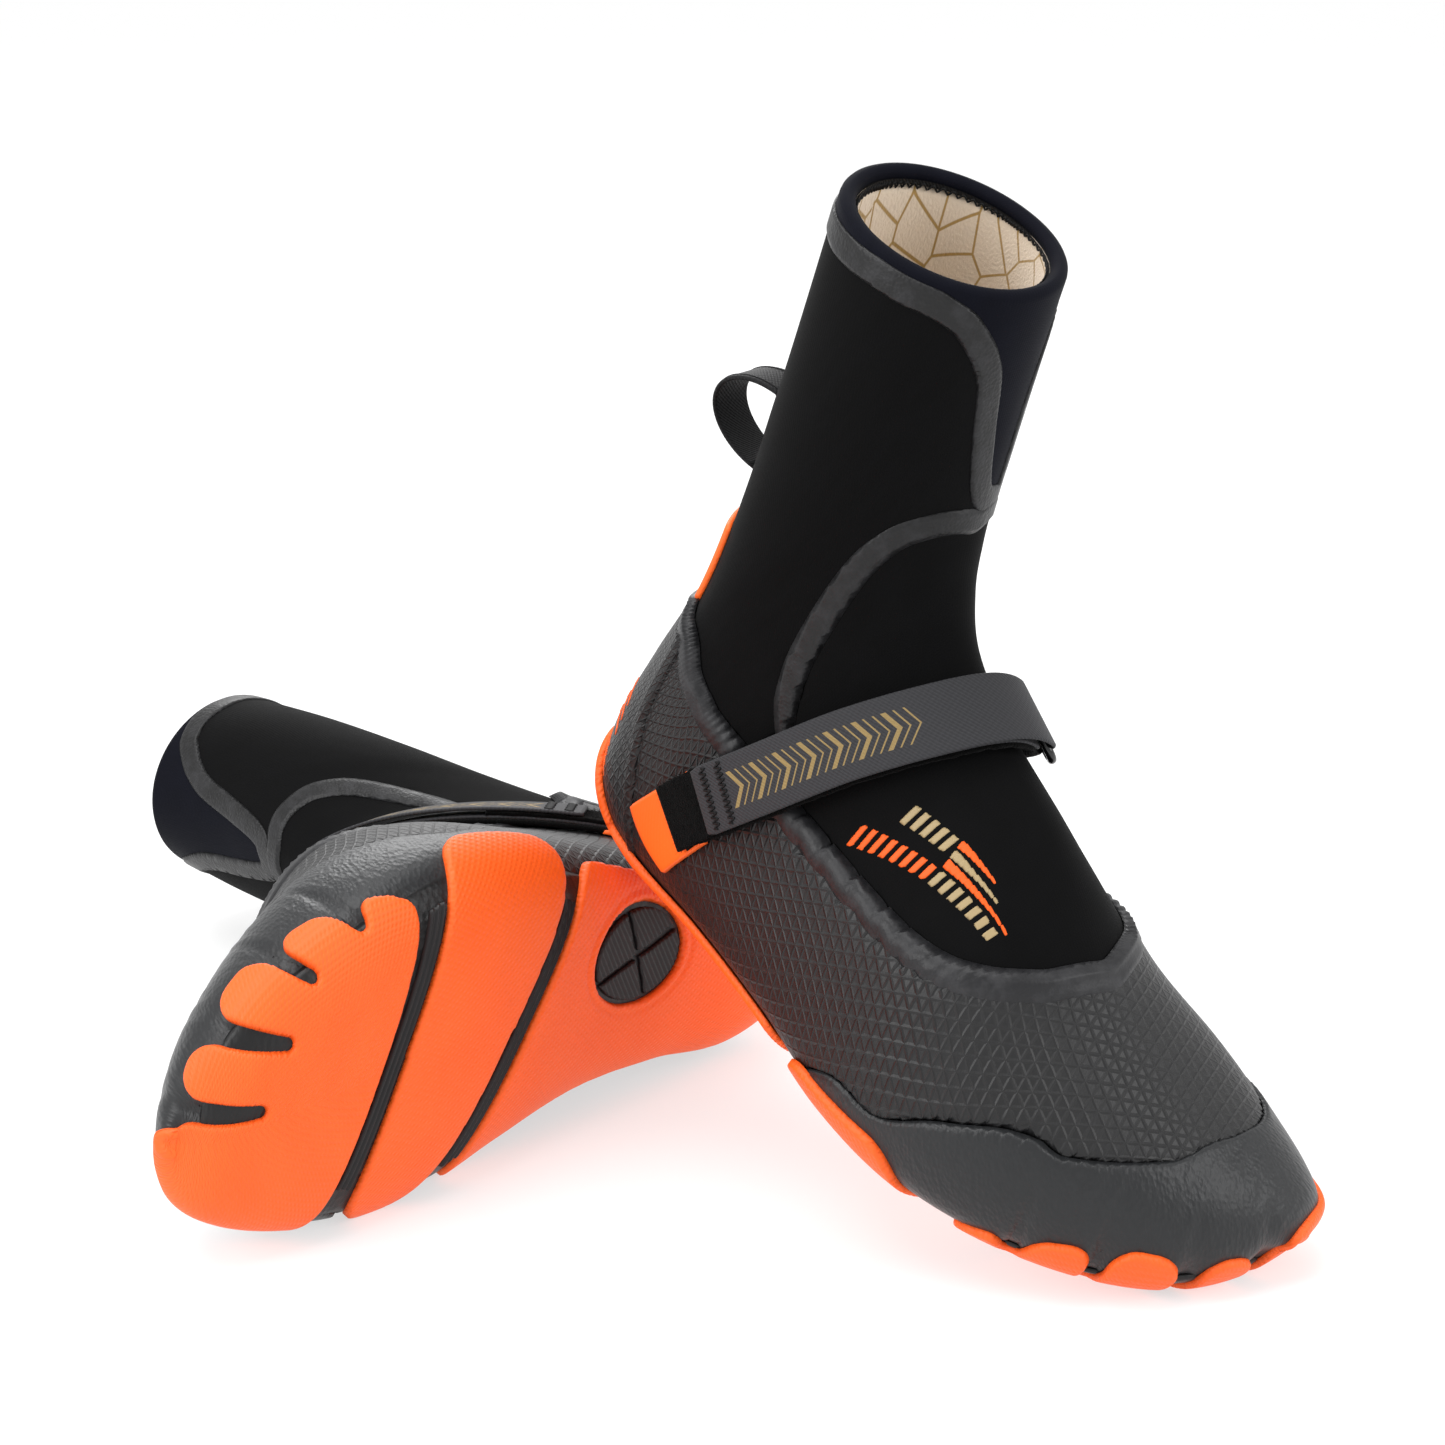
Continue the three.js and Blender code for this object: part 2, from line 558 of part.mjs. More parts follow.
function boot(side, pieces, { position, turn, pitch, roll }, lying) {
  const group = new THREE.Group();
  group.position.set(...position);
  group.rotation.set(rad(roll), rad(pitch), rad(turn), 'ZYX');
  const inner = new THREE.Group();
  if (lying) {
    const toe = new THREE.Vector3(-1, 0, 0);
    const inward = new THREE.Vector3(0, 0, 1);
    const up = new THREE.Vector3(0, 1, 0);
    inner.quaternion.setFromRotationMatrix(new THREE.Matrix4().makeBasis(toe, inward, up));
  }
  for (const [name, [geometry, material]] of Object.entries(pieces)) {
    const mesh = new THREE.Mesh(lying ? mirrored(geometry) : geometry, MATERIALS[material]);
    mesh.name = `${side}_${name}`;
    inner.add(mesh);
  }
  group.add(inner);
  return group;
}

const pieces = { ...sock(), ...rubber(), ...treads(), ...tapes(), ...strap(), ...heelPull() };
const pair = new THREE.Group();
pair.add(boot('right', pieces, RIGHT_POSE, false), boot('left', pieces, LEFT_POSE, true));

export default pair;
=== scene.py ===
import bpy
import bmesh
import numpy as np
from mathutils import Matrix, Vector


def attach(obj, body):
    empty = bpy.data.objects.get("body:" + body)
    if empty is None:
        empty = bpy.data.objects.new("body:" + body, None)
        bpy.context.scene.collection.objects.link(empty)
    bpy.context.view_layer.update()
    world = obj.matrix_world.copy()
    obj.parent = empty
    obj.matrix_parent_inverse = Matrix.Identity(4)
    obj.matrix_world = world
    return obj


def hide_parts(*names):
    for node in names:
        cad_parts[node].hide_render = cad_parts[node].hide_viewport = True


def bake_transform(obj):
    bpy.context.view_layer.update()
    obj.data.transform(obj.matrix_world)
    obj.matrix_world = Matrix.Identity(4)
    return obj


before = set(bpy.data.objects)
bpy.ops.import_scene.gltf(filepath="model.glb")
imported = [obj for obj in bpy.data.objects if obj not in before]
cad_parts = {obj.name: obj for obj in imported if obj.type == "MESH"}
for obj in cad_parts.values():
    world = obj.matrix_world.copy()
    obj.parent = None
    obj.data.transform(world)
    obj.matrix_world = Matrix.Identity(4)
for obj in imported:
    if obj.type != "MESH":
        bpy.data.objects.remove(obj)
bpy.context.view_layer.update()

# ---- Studio ------------------------------------------------------------------------------------
# A white table under soft boxes: a broad one over the boots, one at the left for the sheen on the
# rubber and a weaker one at the right, with a pale surround that fills the shadows.

# The camera's place, aim and lens came from the fit that also gave the boots' form.
CAMERA_PLACE = Vector((-0.8258, -0.8151, 0.5049))
CAMERA_LOOK = Vector((0.7173, 0.6324, -0.2924))
camera = bpy.data.objects.new("camera", bpy.data.cameras.new("camera"))
camera.data.lens = 91.36
camera.data.sensor_width = 36
camera.location = CAMERA_PLACE
camera.rotation_euler = CAMERA_LOOK.to_track_quat("-Z", "Y").to_euler()
bpy.context.scene.collection.objects.link(camera)
bpy.context.scene.camera = camera
bpy.context.scene.view_settings.view_transform = "Standard"


def linear(colour):
    """sRGB hex colour as linear RGBA."""
    values = [int(colour[i:i + 2], 16) / 255 for i in (1, 3, 5)]
    return tuple(v / 12.92 if v <= 0.04045 else ((v + 0.055) / 1.055) ** 2.4 for v in values) + (1.0,)


def soft_box(name, place, size, power):
    """A square area light aimed at the middle of the pair."""
    lamp = bpy.data.objects.new(name, bpy.data.lights.new(name, "AREA"))
    lamp.data.shape = "SQUARE"
    lamp.data.size = size
    lamp.data.energy = power
    lamp.location = place
    lamp.rotation_euler = (Vector((0, 0, 0.1)) - Vector(place)).to_track_quat("-Z", "Y").to_euler()
    bpy.context.scene.collection.objects.link(lamp)


soft_box("soft_box_over", (-0.2, 0.1, 1.5), 1.2, 16)
soft_box("soft_box_left", (-1.5, 0.5, 0.9), 0.9, 14)
soft_box("soft_box_right", (0.5, -1.5, 0.8), 0.9, 9)
soft_box("soft_box_back", (1.1, 1.1, 0.9), 0.8, 8)

world = bpy.data.worlds.new("surround")
world.use_nodes = True
world.node_tree.nodes["Background"].inputs[0].default_value = linear("#FFFFFF")
world.node_tree.nodes["Background"].inputs[1].default_value = 0.9
bpy.context.scene.world = world

table_mesh = bpy.data.meshes.new("table_top")
table_mesh.from_pydata([(-30, -30, -3e-4), (30, -30, -3e-4), (30, 30, -3e-4), (-30, 30, -3e-4)], [], [(0, 1, 2, 3)])
table_top = bpy.data.objects.new("table_top", table_mesh)
bpy.context.scene.collection.objects.link(table_top)


def new_material(name, colour, roughness, **sockets):
    """A material with a Principled shader; every plain number is set on the shader's own socket."""
    material = bpy.data.materials.new(name)
    material.use_nodes = True
    shader = material.node_tree.nodes["Principled BSDF"]
    shader.inputs["Base Color"].default_value = linear(colour)
    shader.inputs["Roughness"].default_value = roughness
    for socket, value in sockets.items():
        shader.inputs[socket.replace("_", " ")].default_value = value
    return material, shader


white_card, _ = new_material("matt_white_card", "#A8A8A8", 0.9, Emission_Color=(1, 1, 1, 1), Emission_Strength=0.62,
                             Specular_IOR_Level=0.1)
table_mesh.materials.append(white_card)

# ---- Neoprene panels ---------------------------------------------------------------------------
# The sock, vamp, leg and collar of a wetsuit boot: 5 mm closed-cell neoprene faced with nylon jersey,
# cut flat, glued and blind-stitched edge to edge. The collar is a smoother jersey with a blue cast,
# and its top edge is turned over the foam into a rounded rim.

# Cross-sections of the neoprene's outer face, fanned from the toe (0) round the ankle to the rim (16),
# in mm: under x, z, upper x, z, inner edge y, outer edge y, height of the widest point, roundnesses.
# The first six columns are the result of a least-squares fit to the boots' outlines, made by a scratch
# program, rounded to whole mm and changed in places by hand. The last three were drawn.
STATIONS = np.array([
    [284, 21, 287, 24, 27, 19, 0.50, 2.0, 2.0], [280, 11, 283, 31, 41, 0, 0.45, 2.2, 2.0],
    [270, 5, 272, 39, 48, -19, 0.38, 2.6, 2.1], [250, 1, 254, 48, 53, -36, 0.33, 3.0, 2.2],
    [222, -1, 231, 61, 56, -51, 0.30, 3.2, 2.1], [190, -2, 208, 77, 53, -59, 0.28, 3.2, 1.9],
    [155, 0, 190, 98, 45, -59, 0.28, 3.2, 1.8], [115, 4, 168, 114, 38, -51, 0.28, 3.0, 1.8],
    [72, 4, 140, 126, 36, -42, 0.30, 2.8, 1.9], [32, 1, 117, 140, 37, -36, 0.36, 2.6, 2.0],
    [9, 11, 108, 158, 36, -35, 0.42, 2.3, 2.0], [5, 36, 105, 175, 34, -35, 0.47, 2.1, 2.0],
    [12, 69, 103, 191, 34, -36, 0.50, 2.0, 2.0], [22, 104, 101, 206, 36, -38, 0.50, 2.0, 2.0],
    [26, 145, 99, 221, 38, -39, 0.50, 2.0, 2.0], [26, 201, 98, 239, 38, -38, 0.50, 2.0, 2.0],
    [23, 262, 98, 260, 36, -34, 0.50, 2.0, 2.0]])
RIM = 16.0             # the last station, where the rim starts to roll
ROLL = 0.1             # stations over which the rim rolls inwards
RIM_RADIUS = 2.7       # half the rim's thickness, mm
TIP = 0.25             # stations over which the skin closes over the toe's tip


def section(t, angle):
    """Points of the form between stations 0 and 16. Each column of STATIONS is carried by a uniform
    Catmull-Rom curve; round a section, height goes with the cosine and y with the sine of the angle
    from the instep's midline, both raised to 2 / roundness as on a superellipse."""
    i = np.clip(np.floor(t).astype(int), 0, len(STATIONS) - 2)
    f = (t - i)[..., None]
    p0, p1, p2, p3 = [STATIONS[np.clip(i + k, 0, len(STATIONS) - 1)] for k in (-1, 0, 1, 2)]
    row = 0.5 * (2 * p1 + (p2 - p0) * f + (2 * p0 - 5 * p1 + 4 * p2 - p3) * f ** 2
                 + (3 * p1 - p0 - 3 * p2 + p3) * f ** 3)
    c, s = np.cos(np.radians(angle)), np.sin(np.radians(angle))
    power = 2 / np.where(c > 0, row[..., 8], row[..., 7])
    rise, widest = np.abs(c) ** power, row[..., 6]
    h = np.where(c > 0, widest + (1 - widest) * rise, widest * (1 - rise))
    y = (row[..., 4] + row[..., 5]) / 2 - (row[..., 4] - row[..., 5]) / 2 * np.sign(s) * np.abs(s) ** power
    return np.stack([row[..., 0] + (row[..., 2] - row[..., 0]) * h, y,
                     row[..., 1] + (row[..., 3] - row[..., 1]) * h], -1)


def unit(v):
    """Vectors brought to length one."""
    return v / np.maximum(np.linalg.norm(v, axis=-1, keepdims=True), 1e-9)


def form(t, angle):
    """Points and outward normals of the whole boot. Below station 0 the section shrinks to a point as
    a quarter circle; past the rim it rolls inwards over a half circle and runs back down inside."""
    t, angle = np.broadcast_arrays(np.asarray(t, float), np.asarray(angle, float))
    inside = np.clip(t - RIM - ROLL, 0, None)
    base = np.clip(t, 0.0, RIM) - inside
    point = section(base, angle)
    ahead = section(np.clip(base + 0.04, 0, RIM), angle) - section(np.clip(base - 0.04, 0, RIM), angle)
    normal = unit(np.cross(ahead, section(base, angle + 2) - section(base, angle - 2)))
    roll = np.clip((t - RIM) / ROLL, 0, 1)[..., None] * np.pi
    rolled = normal * (np.cos(roll) - 1) * RIM_RADIUS + unit(ahead) * np.sin(roll) * RIM_RADIUS
    close = np.clip(-t / TIP, 0, 1)[..., None] * np.pi / 2
    forward = np.array([1.0, 0, 0])
    tip = section(np.zeros(1), np.zeros(1)) / 2 + section(np.zeros(1), np.full(1, 180.0)) / 2
    tip[..., 1] = (STATIONS[0, 4] + STATIONS[0, 5]) / 2
    closed = (tip - point) * (1 - np.cos(close)) + forward * 0.5 * np.sin(close)
    facing = unit(normal * np.cos(close) + forward * np.sin(close))
    return point + rolled + closed, facing * np.cos(roll) + unit(ahead) * np.sin(roll)


def even_angles(start, end, pitch):
    """Angles in degrees whose points lie about `pitch` mm apart: q^1.6 / (q^1.6 + (1 - q)^1.6) within
    each quarter turn undoes the crowding of the superellipse."""
    q = np.linspace(-4, 8, 12001)
    f = q - np.floor(q)
    table = 90 * (np.floor(q) + f ** 1.6 / (f ** 1.6 + (1 - f) ** 1.6))
    q0, q1 = np.interp([start, end], table, q)
    return np.interp(np.linspace(q0, q1, int(np.ceil((q1 - q0) * 66 / pitch)) + 1), q, table)


def stations_apart(first, last, pitch):
    """Stations about `pitch` mm apart where the form is longest, half as far over the rim and tip."""
    count = int(np.ceil((last - first) * 48 / pitch))
    rows = np.linspace(first, last, count + 1)
    extra = [np.linspace(RIM, RIM + ROLL, 9)] if last > RIM else []
    extra += [np.linspace(-TIP, 0.3, 16)] if first < 0 else []
    return np.unique(np.round(np.concatenate([rows] + extra), 5))


def distance(field, points):
    """A field's value over its slope on the surface: the distance in mm to its zero line."""
    pu, pv = np.gradient(points, axis=0), np.gradient(points, axis=1)
    fu, fv = np.gradient(field)
    e, m, g = (pu * pu).sum(-1), (pu * pv).sum(-1), (pv * pv).sum(-1)
    slope = (g * fu ** 2 - 2 * m * fu * fv + e * fv ** 2) / np.maximum(e * g - m * m, 1e-6)
    return field / np.sqrt(np.maximum(slope, 1e-8))


def smooth_line(knots, spread=3.0):
    """A seam line [angle, station], the same on both sides of the boot, with its corners eased by a
    bell-shaped average over `spread` degrees."""
    angles = np.arange(-220.0, 221.0)
    folded = np.abs((angles + 180) % 360 - 180)
    values = np.interp(folded, [k[0] for k in knots], [k[1] for k in knots])
    bell = np.exp(-0.5 * (np.arange(-15, 16) / spread) ** 2)
    values = np.convolve(np.pad(values, 15, mode="edge"), bell / bell.sum(), mode="valid")
    return lambda a: np.interp((a + 180) % 360 - 180, angles, values)


def cut_net(rows, columns, fields):
    """The part of the form where every field is positive. Net points next to the border are drawn onto
    it along the slope in two steps, so the border is a smooth line of points. Returns stations, angles,
    the distance in from the border, and faces of four point numbers (a triangle repeats its last)."""
    t, a = np.meshgrid(rows, columns, indexing="ij")
    index_t, index_a = np.meshgrid(np.arange(len(rows)), np.arange(len(columns)), indexing="ij")
    points, _ = form(t, a)
    values = np.array(fields(t, a, points))
    depths = np.array([distance(value, points) for value in values])
    nearest = depths.argmin(0)[None]
    inward = np.take_along_axis(depths, nearest, 0)[0]
    value = np.take_along_axis(values, nearest, 0)[0]
    scale = inward / np.where(np.abs(value) < 1e-9, 1e-9, value)
    padded = np.pad(inward, 1, mode="edge")
    near = np.zeros(t.shape, bool)
    for di, dj in [(-1, -1), (-1, 0), (-1, 1), (0, -1), (0, 1), (1, -1), (1, 0), (1, 1)]:
        other = padded[1 + di:1 + di + t.shape[0], 1 + dj:1 + dj + t.shape[1]]
        near |= (inward * other < 0) & (np.abs(inward) <= np.abs(other))
    gi, gj = np.gradient(inward)
    slope = np.maximum(gi ** 2 + gj ** 2, 1e-9)
    shift_t, shift_a, error = np.zeros(t.shape), np.zeros(t.shape), inward
    for _ in range(2):
        shift_t = np.where(near, np.clip(shift_t - error * gi / slope, -1, 1), 0)
        shift_a = np.where(near, np.clip(shift_a - error * gj / slope, -1, 1), 0)
        t = np.interp(index_t + shift_t, np.arange(len(rows)), rows)
        a = np.interp(index_a + shift_a, np.arange(len(columns)), columns)
        moved = np.array(fields(t, a, form(t, a)[0]))
        error = np.clip(np.take_along_axis(moved, nearest, 0)[0] * scale, -0.5, 0.5)
    kept = (inward > 0) | near
    number = np.arange(t.size).reshape(t.shape)
    corners = np.stack([number[:-1, :-1], number[:-1, 1:], number[1:, 1:], number[1:, :-1]], -1).reshape(-1, 4)
    inside = kept.ravel()[corners]
    deep = np.where(near, 0.0, inward).ravel()
    quads = corners[inside.all(1) & (deep[corners] > 0).any(1)]
    three = inside.sum(1) == 3
    gap = np.argmin(inside[three], 1)
    order = (gap[:, None] + np.array([1, 2, 3, 3])) % 4
    triangles = np.take_along_axis(corners[three], order, 1)
    triangles = triangles[(deep[triangles] > 0).any(1)]
    return t.ravel(), a.ravel(), deep, np.concatenate([quads, triangles])


def line_distance(line, t, a, p):
    """Signed distance in mm to the nearest point of a seam line on the form, positive above the line,
    and 30 mm beyond four stations. The line is taken at points 0.4 mm apart."""
    turn = np.arange(-180, 180, 0.05)
    curve, _ = form(line(turn), turn)
    length = np.concatenate([[0], np.cumsum(np.linalg.norm(np.diff(curve, axis=0), axis=1))])
    turn = np.interp(np.arange(0, length[-1], 0.4), length, turn)
    curve, _ = form(line(turn), turn)
    above = t - line(a)
    result = np.full(t.shape, 30.0)
    close = np.abs(above) < 4
    chosen = p[close]
    parts = [np.sqrt(((chosen[k:k + 4000, None] - curve[None]) ** 2).sum(-1).min(1))
             for k in range(0, len(chosen), 4000)]
    result[close] = np.concatenate(parts)
    return result * np.sign(above)


def flat_map(rows, columns):
    """Lengths in mm along each column and round each row of a net, for woven and embossed patterns."""
    t, a = np.meshgrid(rows, columns, indexing="ij")
    points, _ = form(t, a)
    down = np.concatenate([np.zeros((1, len(columns))),
                           np.cumsum(np.linalg.norm(np.diff(points, axis=0), axis=-1), 0)])
    round_ = np.concatenate([np.zeros((len(rows), 1)),
                             np.cumsum(np.linalg.norm(np.diff(points, axis=1), axis=-1), 1)], 1)
    round_ -= round_[:, [np.argmin(np.abs(columns))]]
    return np.stack([round_.ravel(), down.ravel()], -1)


def sheet_piece(rows, columns, fields, low, high, edge, relief=None, soft=False):
    """A closed sheet on the form: outer face `high` mm off it, inner face `low` mm, and the border
    rolled down from one to the other as a quarter circle of `edge` mm, or a gentle S if `soft`."""
    t, a, deep, faces = cut_net(rows, columns, fields)
    point, normal = form(t, a)
    rise = np.clip(deep / edge, 0, 1)
    swell = rise ** 2 * (3 - 2 * rise) if soft else np.sqrt(np.clip(1 - (1 - rise) ** 2, 0, 1))
    lift = low + (high - low) * swell
    if relief is not None:
        lift = lift + relief(t, a, point) * swell
    outer = point + normal * lift[:, None]
    inner = point + normal * (low - 0.35)
    shared = deep <= 0
    inner_id = np.where(shared, np.arange(len(t)), np.arange(len(t)) + len(t))
    vertices = np.concatenate([outer, inner])
    both = np.concatenate([faces, inner_id[faces][:, ::-1]])
    return vertices, both, np.tile(flat_map(rows, columns), (2, 1))


def turn_matrix(turn, pitch, roll):
    """Rotation about Z, after one about Y, after one about X, from degrees."""
    (cz, cy, cx), (sz, sy, sx) = np.cos(np.radians([turn, pitch, roll])), np.sin(np.radians([turn, pitch, roll]))
    about_z = np.array([[cz, -sz, 0], [sz, cz, 0], [0, 0, 1]])
    about_y = np.array([[cy, 0, sy], [0, 1, 0], [-sy, 0, cy]])
    about_x = np.array([[1, 0, 0], [0, cx, -sx], [0, sx, cx]])
    return about_z @ about_y @ about_x


# The right boot stands on its toes; the left one is its mirror image and lies on its inner side.
LYING = np.array([[-1, 0, 0], [0, 0, -1], [0, 1, 0]]).T
# Their places came from the same fit as the form, then were turned and moved a little.
PLACES = {"right": (turn_matrix(-90.6, 23.6, 3.4), np.array([63.4, 21.3, 107.64])),
          "left": (turn_matrix(0, 6.5, 3.8) @ LYING, np.array([143.4, -8.7, 32.9]))}


def placed(side, points):
    """Points of a boot's own frame, mm, as points of the row frame, m."""
    rotation, shift = PLACES[side]
    return (points @ rotation.T + shift) / 1000


def new_piece(name, side, shape, materials, slot, nodes, body="boot", smooth=True, face_material=None):
    """Makes the mesh, welds its seams, parents it to its body's empty, if any, and hides the CAD nodes that it stands
    in for; slot is not used.
    """
    vertices, faces, flat = shape
    if side == "left":
        faces = faces[:, ::-1]
    mesh = bpy.data.meshes.new(f"{side}_{name}")
    used = np.unique(faces)
    renumber = np.zeros(len(vertices), int)
    renumber[used] = np.arange(len(used))
    faces = renumber[faces]
    lists = [list(dict.fromkeys(face)) for face in faces.tolist()]
    mesh.from_pydata(placed(side, vertices[used]).tolist(), [], lists)
    layer = mesh.uv_layers.new(name="UVMap")
    corner = np.zeros(len(mesh.loops), int)
    mesh.loops.foreach_get("vertex_index", corner)
    layer.data.foreach_set("uv", (flat[used][corner] / 100).astype(np.float32).ravel())
    for material in materials:
        mesh.materials.append(material)
    if face_material is not None:
        mesh.polygons.foreach_set("material_index", face_material)
    weld = bmesh.new()
    weld.from_mesh(mesh)
    bmesh.ops.remove_doubles(weld, verts=weld.verts, dist=2e-6)
    weld.to_mesh(mesh)
    weld.free()
    mesh.polygons.foreach_set("use_smooth", [smooth] * len(mesh.polygons))
    mesh.validate()
    piece = bpy.data.objects.new(f"{side}_{name}", mesh)
    bpy.context.scene.collection.objects.link(piece)
    if body:
        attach(piece, f"{side}_{body}")
    if nodes:
        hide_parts(*[f"{side}_{node}" for node in nodes])
    return piece


def both_boots(name, shape, materials, slot, nodes, body="boot", **options):
    """The same piece on the right and on the left boot."""
    return [new_piece(name, side, shape, materials, slot, nodes, body, **options) for side in ("right", "left")]


def add_node(tree, kind, settings=None, **inputs):
    """Adds one node; settings are its properties, inputs are numbers, vectors or sockets to link."""
    node = tree.nodes.new(kind)
    for name, value in (settings or {}).items():
        setattr(node, name, value)
    for name, value in inputs.items():
        numbered = name[0] == "i" and name[1:].isdigit()
        socket = node.inputs[int(name[1:]) if numbered else name.replace("_", " ")]
        if isinstance(value, bpy.types.NodeSocket):
            tree.links.new(value, socket)
        else:
            socket.default_value = value
    return node


def math_node(tree, operation, first, second=0.0, third=0.0):
    """One Math node's result."""
    return add_node(tree, "ShaderNodeMath", {"operation": operation}, i0=first, i1=second, i2=third).outputs[0]


def surface_lengths(tree):
    """The piece's own map, with one unit for 100 mm."""
    return add_node(tree, "ShaderNodeUVMap", {"uv_map": "UVMap"}).outputs[0]


def set_bump(tree, shader, height, depth_mm, strength=1.0):
    """Bumps the shader by a height of 0 to 1 that stands for depth_mm."""
    bump = add_node(tree, "ShaderNodeBump", Height=height, Distance=depth_mm / 1000, Strength=strength)
    tree.links.new(bump.outputs[0], shader.inputs["Normal"])


def mix_colours(tree, factor, first, second):
    """The colour between two hex colours."""
    node = add_node(tree, "ShaderNodeMix", {"data_type": "RGBA"}, i0=factor, i6=linear(first), i7=linear(second))
    return node.outputs[2]


def stripes(tree, lengths, direction, pitch_mm):
    """A triangle wave, 0 to 1, across parallel lines pitch_mm apart."""
    k = 100 / pitch_mm
    along = add_node(tree, "ShaderNodeVectorMath", {"operation": "DOT_PRODUCT"}, i0=lengths,
                     i1=(np.cos(direction) * k, np.sin(direction) * k, 0)).outputs["Value"]
    return math_node(tree, "PINGPONG", along, 0.5)


def jersey_material(name, colour, lighter, sheen):
    """Nylon jersey glued on foam: rows of tiny loops, drawn 1.1 mm apart where the real ones are 0.6,
    matt with a slight sheen at grazing angles."""
    material, shader = new_material(name, colour, 0.78, Sheen_Weight=sheen, Sheen_Roughness=0.4,
                                    Specular_IOR_Level=0.06)
    tree = material.node_tree
    lengths = surface_lengths(tree)
    wale = stripes(tree, lengths, 0.0, 1.1)
    course = stripes(tree, lengths, np.pi / 2, 0.9)
    cloud = add_node(tree, "ShaderNodeTexNoise", Vector=lengths, Scale=9.0, Detail=3.0).outputs[0]
    tree.links.new(mix_colours(tree, cloud, colour, lighter), shader.inputs["Base Color"])
    set_bump(tree, shader, math_node(tree, "ADD", wale, course), 0.10, 0.6)
    return material


# Knots of the seam lines as [angle, station]. They started from outline points that a scratch program
# carried onto the form, and were then rounded and smoothed by hand.
TOPLINE = [[0, 5.0], [25, 5.3], [40, 5.7], [50, 6.1], [60, 6.8], [68, 8.3], [78, 9.5], [90, 10.5], [115, 11.9],
           [140, 12.7], [180, 13.0]]
ARCH = [[0, 11.5], [18, 11.75], [38, 11.95], [50, 11.75], [58, 10.8], [63, 9.6], [68, 8.3], [75, 7.0], [180, 7.0]]
COLLAR = [[0, 11.95], [9, 12.0], [14, 12.3], [17, 13.0], [20, 14.1], [24, 14.75], [32, 15.2], [46, 15.6],
          [60, 15.76], [90, 15.82], [180, 15.8]]
V_SHIFT = 11           # degrees that the collar's V sits towards the inner side
topline, arch_line, collar_line = smooth_line(TOPLINE), smooth_line(ARCH), smooth_line(COLLAR, 2.4)


def arch(a):
    """The upper edge of the vamp panel, never below the topline."""
    return np.maximum(arch_line(a), topline(a))


def collar(a):
    """The collar's lower edge, its V moved to the inner side by V_SHIFT in a bell round the front."""
    return collar_line(a + V_SHIFT * np.exp(-(a / 70) ** 2))


neoprene = jersey_material("nylon_jersey_on_neoprene", "#070707", "#0B0B0C", 0.012)
fine_jersey = jersey_material("fine_smooth_jersey", "#090A11", "#0D0E17", 0.03)

RING = (-180.0, 180.0)
leg = sheet_piece(stations_apart(7.9, 16, 2.4), even_angles(*RING, 2.4),
                  lambda t, a, p: [t - arch(a) - 0.015, collar(a) - t - 0.012], -0.6, 0.0, 1.2)
both_boots("neoprene_leg", leg, [neoprene], "neoprene", ["calf_panel"])
vamp = sheet_piece(stations_apart(4.6, 12.2, 2.2), even_angles(-76, 76, 2.2),
                   lambda t, a, p: [t - topline(a) + 0.04, arch(a) - t - 0.015], -0.6, 0.0, 1.2)
both_boots("neoprene_vamp", vamp, [neoprene], "neoprene", ["vamp_panel"])
foot = sheet_piece(stations_apart(-TIP, 13.1, 3.4), even_angles(*RING, 3.2),
                   lambda t, a, p: [topline(a) - 0.02 - t], -1.4, -0.5, 1.2)
both_boots("neoprene_foot", foot, [neoprene], "neoprene", ["foot_sock"])
rim = sheet_piece(stations_apart(11.7, RIM + ROLL + 0.07, 1.9), even_angles(*RING, 1.9),
                  lambda t, a, p: [t - collar(a) - 0.012, RIM + ROLL + 0.06 - t], -0.6, 0.0, 1.0)
both_boots("collar_panel", rim, [fine_jersey], "collar", ["collar_panel"])

# ---- Seam tapes --------------------------------------------------------------------------------
# Liquid-rubber tape pressed over each blind-stitched seam while hot: dark grey, satin, with thin edges
# and the hatch of the press cloth and of the stitches below showing through.


def tape_material(name, colour, worn_colour, depth):
    """Cured liquid rubber: charcoal with paler rubbed clouds 6 mm wide over a fine pressed grain."""
    material, shader = new_material(name, colour, 0.42, Specular_IOR_Level=0.30)
    tree = material.node_tree
    place = add_node(tree, "ShaderNodeTexCoord").outputs["Object"]
    rubbed = add_node(tree, "ShaderNodeTexNoise", Vector=place, Scale=170.0, Detail=4.0, Roughness=0.6).outputs[0]
    worn = add_node(tree, "ShaderNodeMapRange", Value=rubbed, From_Min=0.45, From_Max=0.70).outputs[0]
    tree.links.new(mix_colours(tree, worn, colour, worn_colour), shader.inputs["Base Color"])
    grain = add_node(tree, "ShaderNodeTexVoronoi", Vector=place, Scale=900.0).outputs["Distance"]
    set_bump(tree, shader, math_node(tree, "MULTIPLY_ADD", rubbed, 2.0, grain), depth, 0.6)
    tree.links.new(add_node(tree, "ShaderNodeMapRange", Value=rubbed, From_Min=0.3, From_Max=0.7, To_Min=0.34,
                            To_Max=0.52).outputs[0], shader.inputs["Roughness"])
    return material


seam_tape = tape_material("cured_seam_tape", "#131314", "#252527", 0.22)


def tape_fields(line, half_width, reach):
    """The strip beside a seam line, inside a reach of angles."""
    def fields(t, a, p):
        return [half_width - np.abs(line_distance(line, t, a, p)), (reach - np.abs(a)) * 0.6]
    return fields


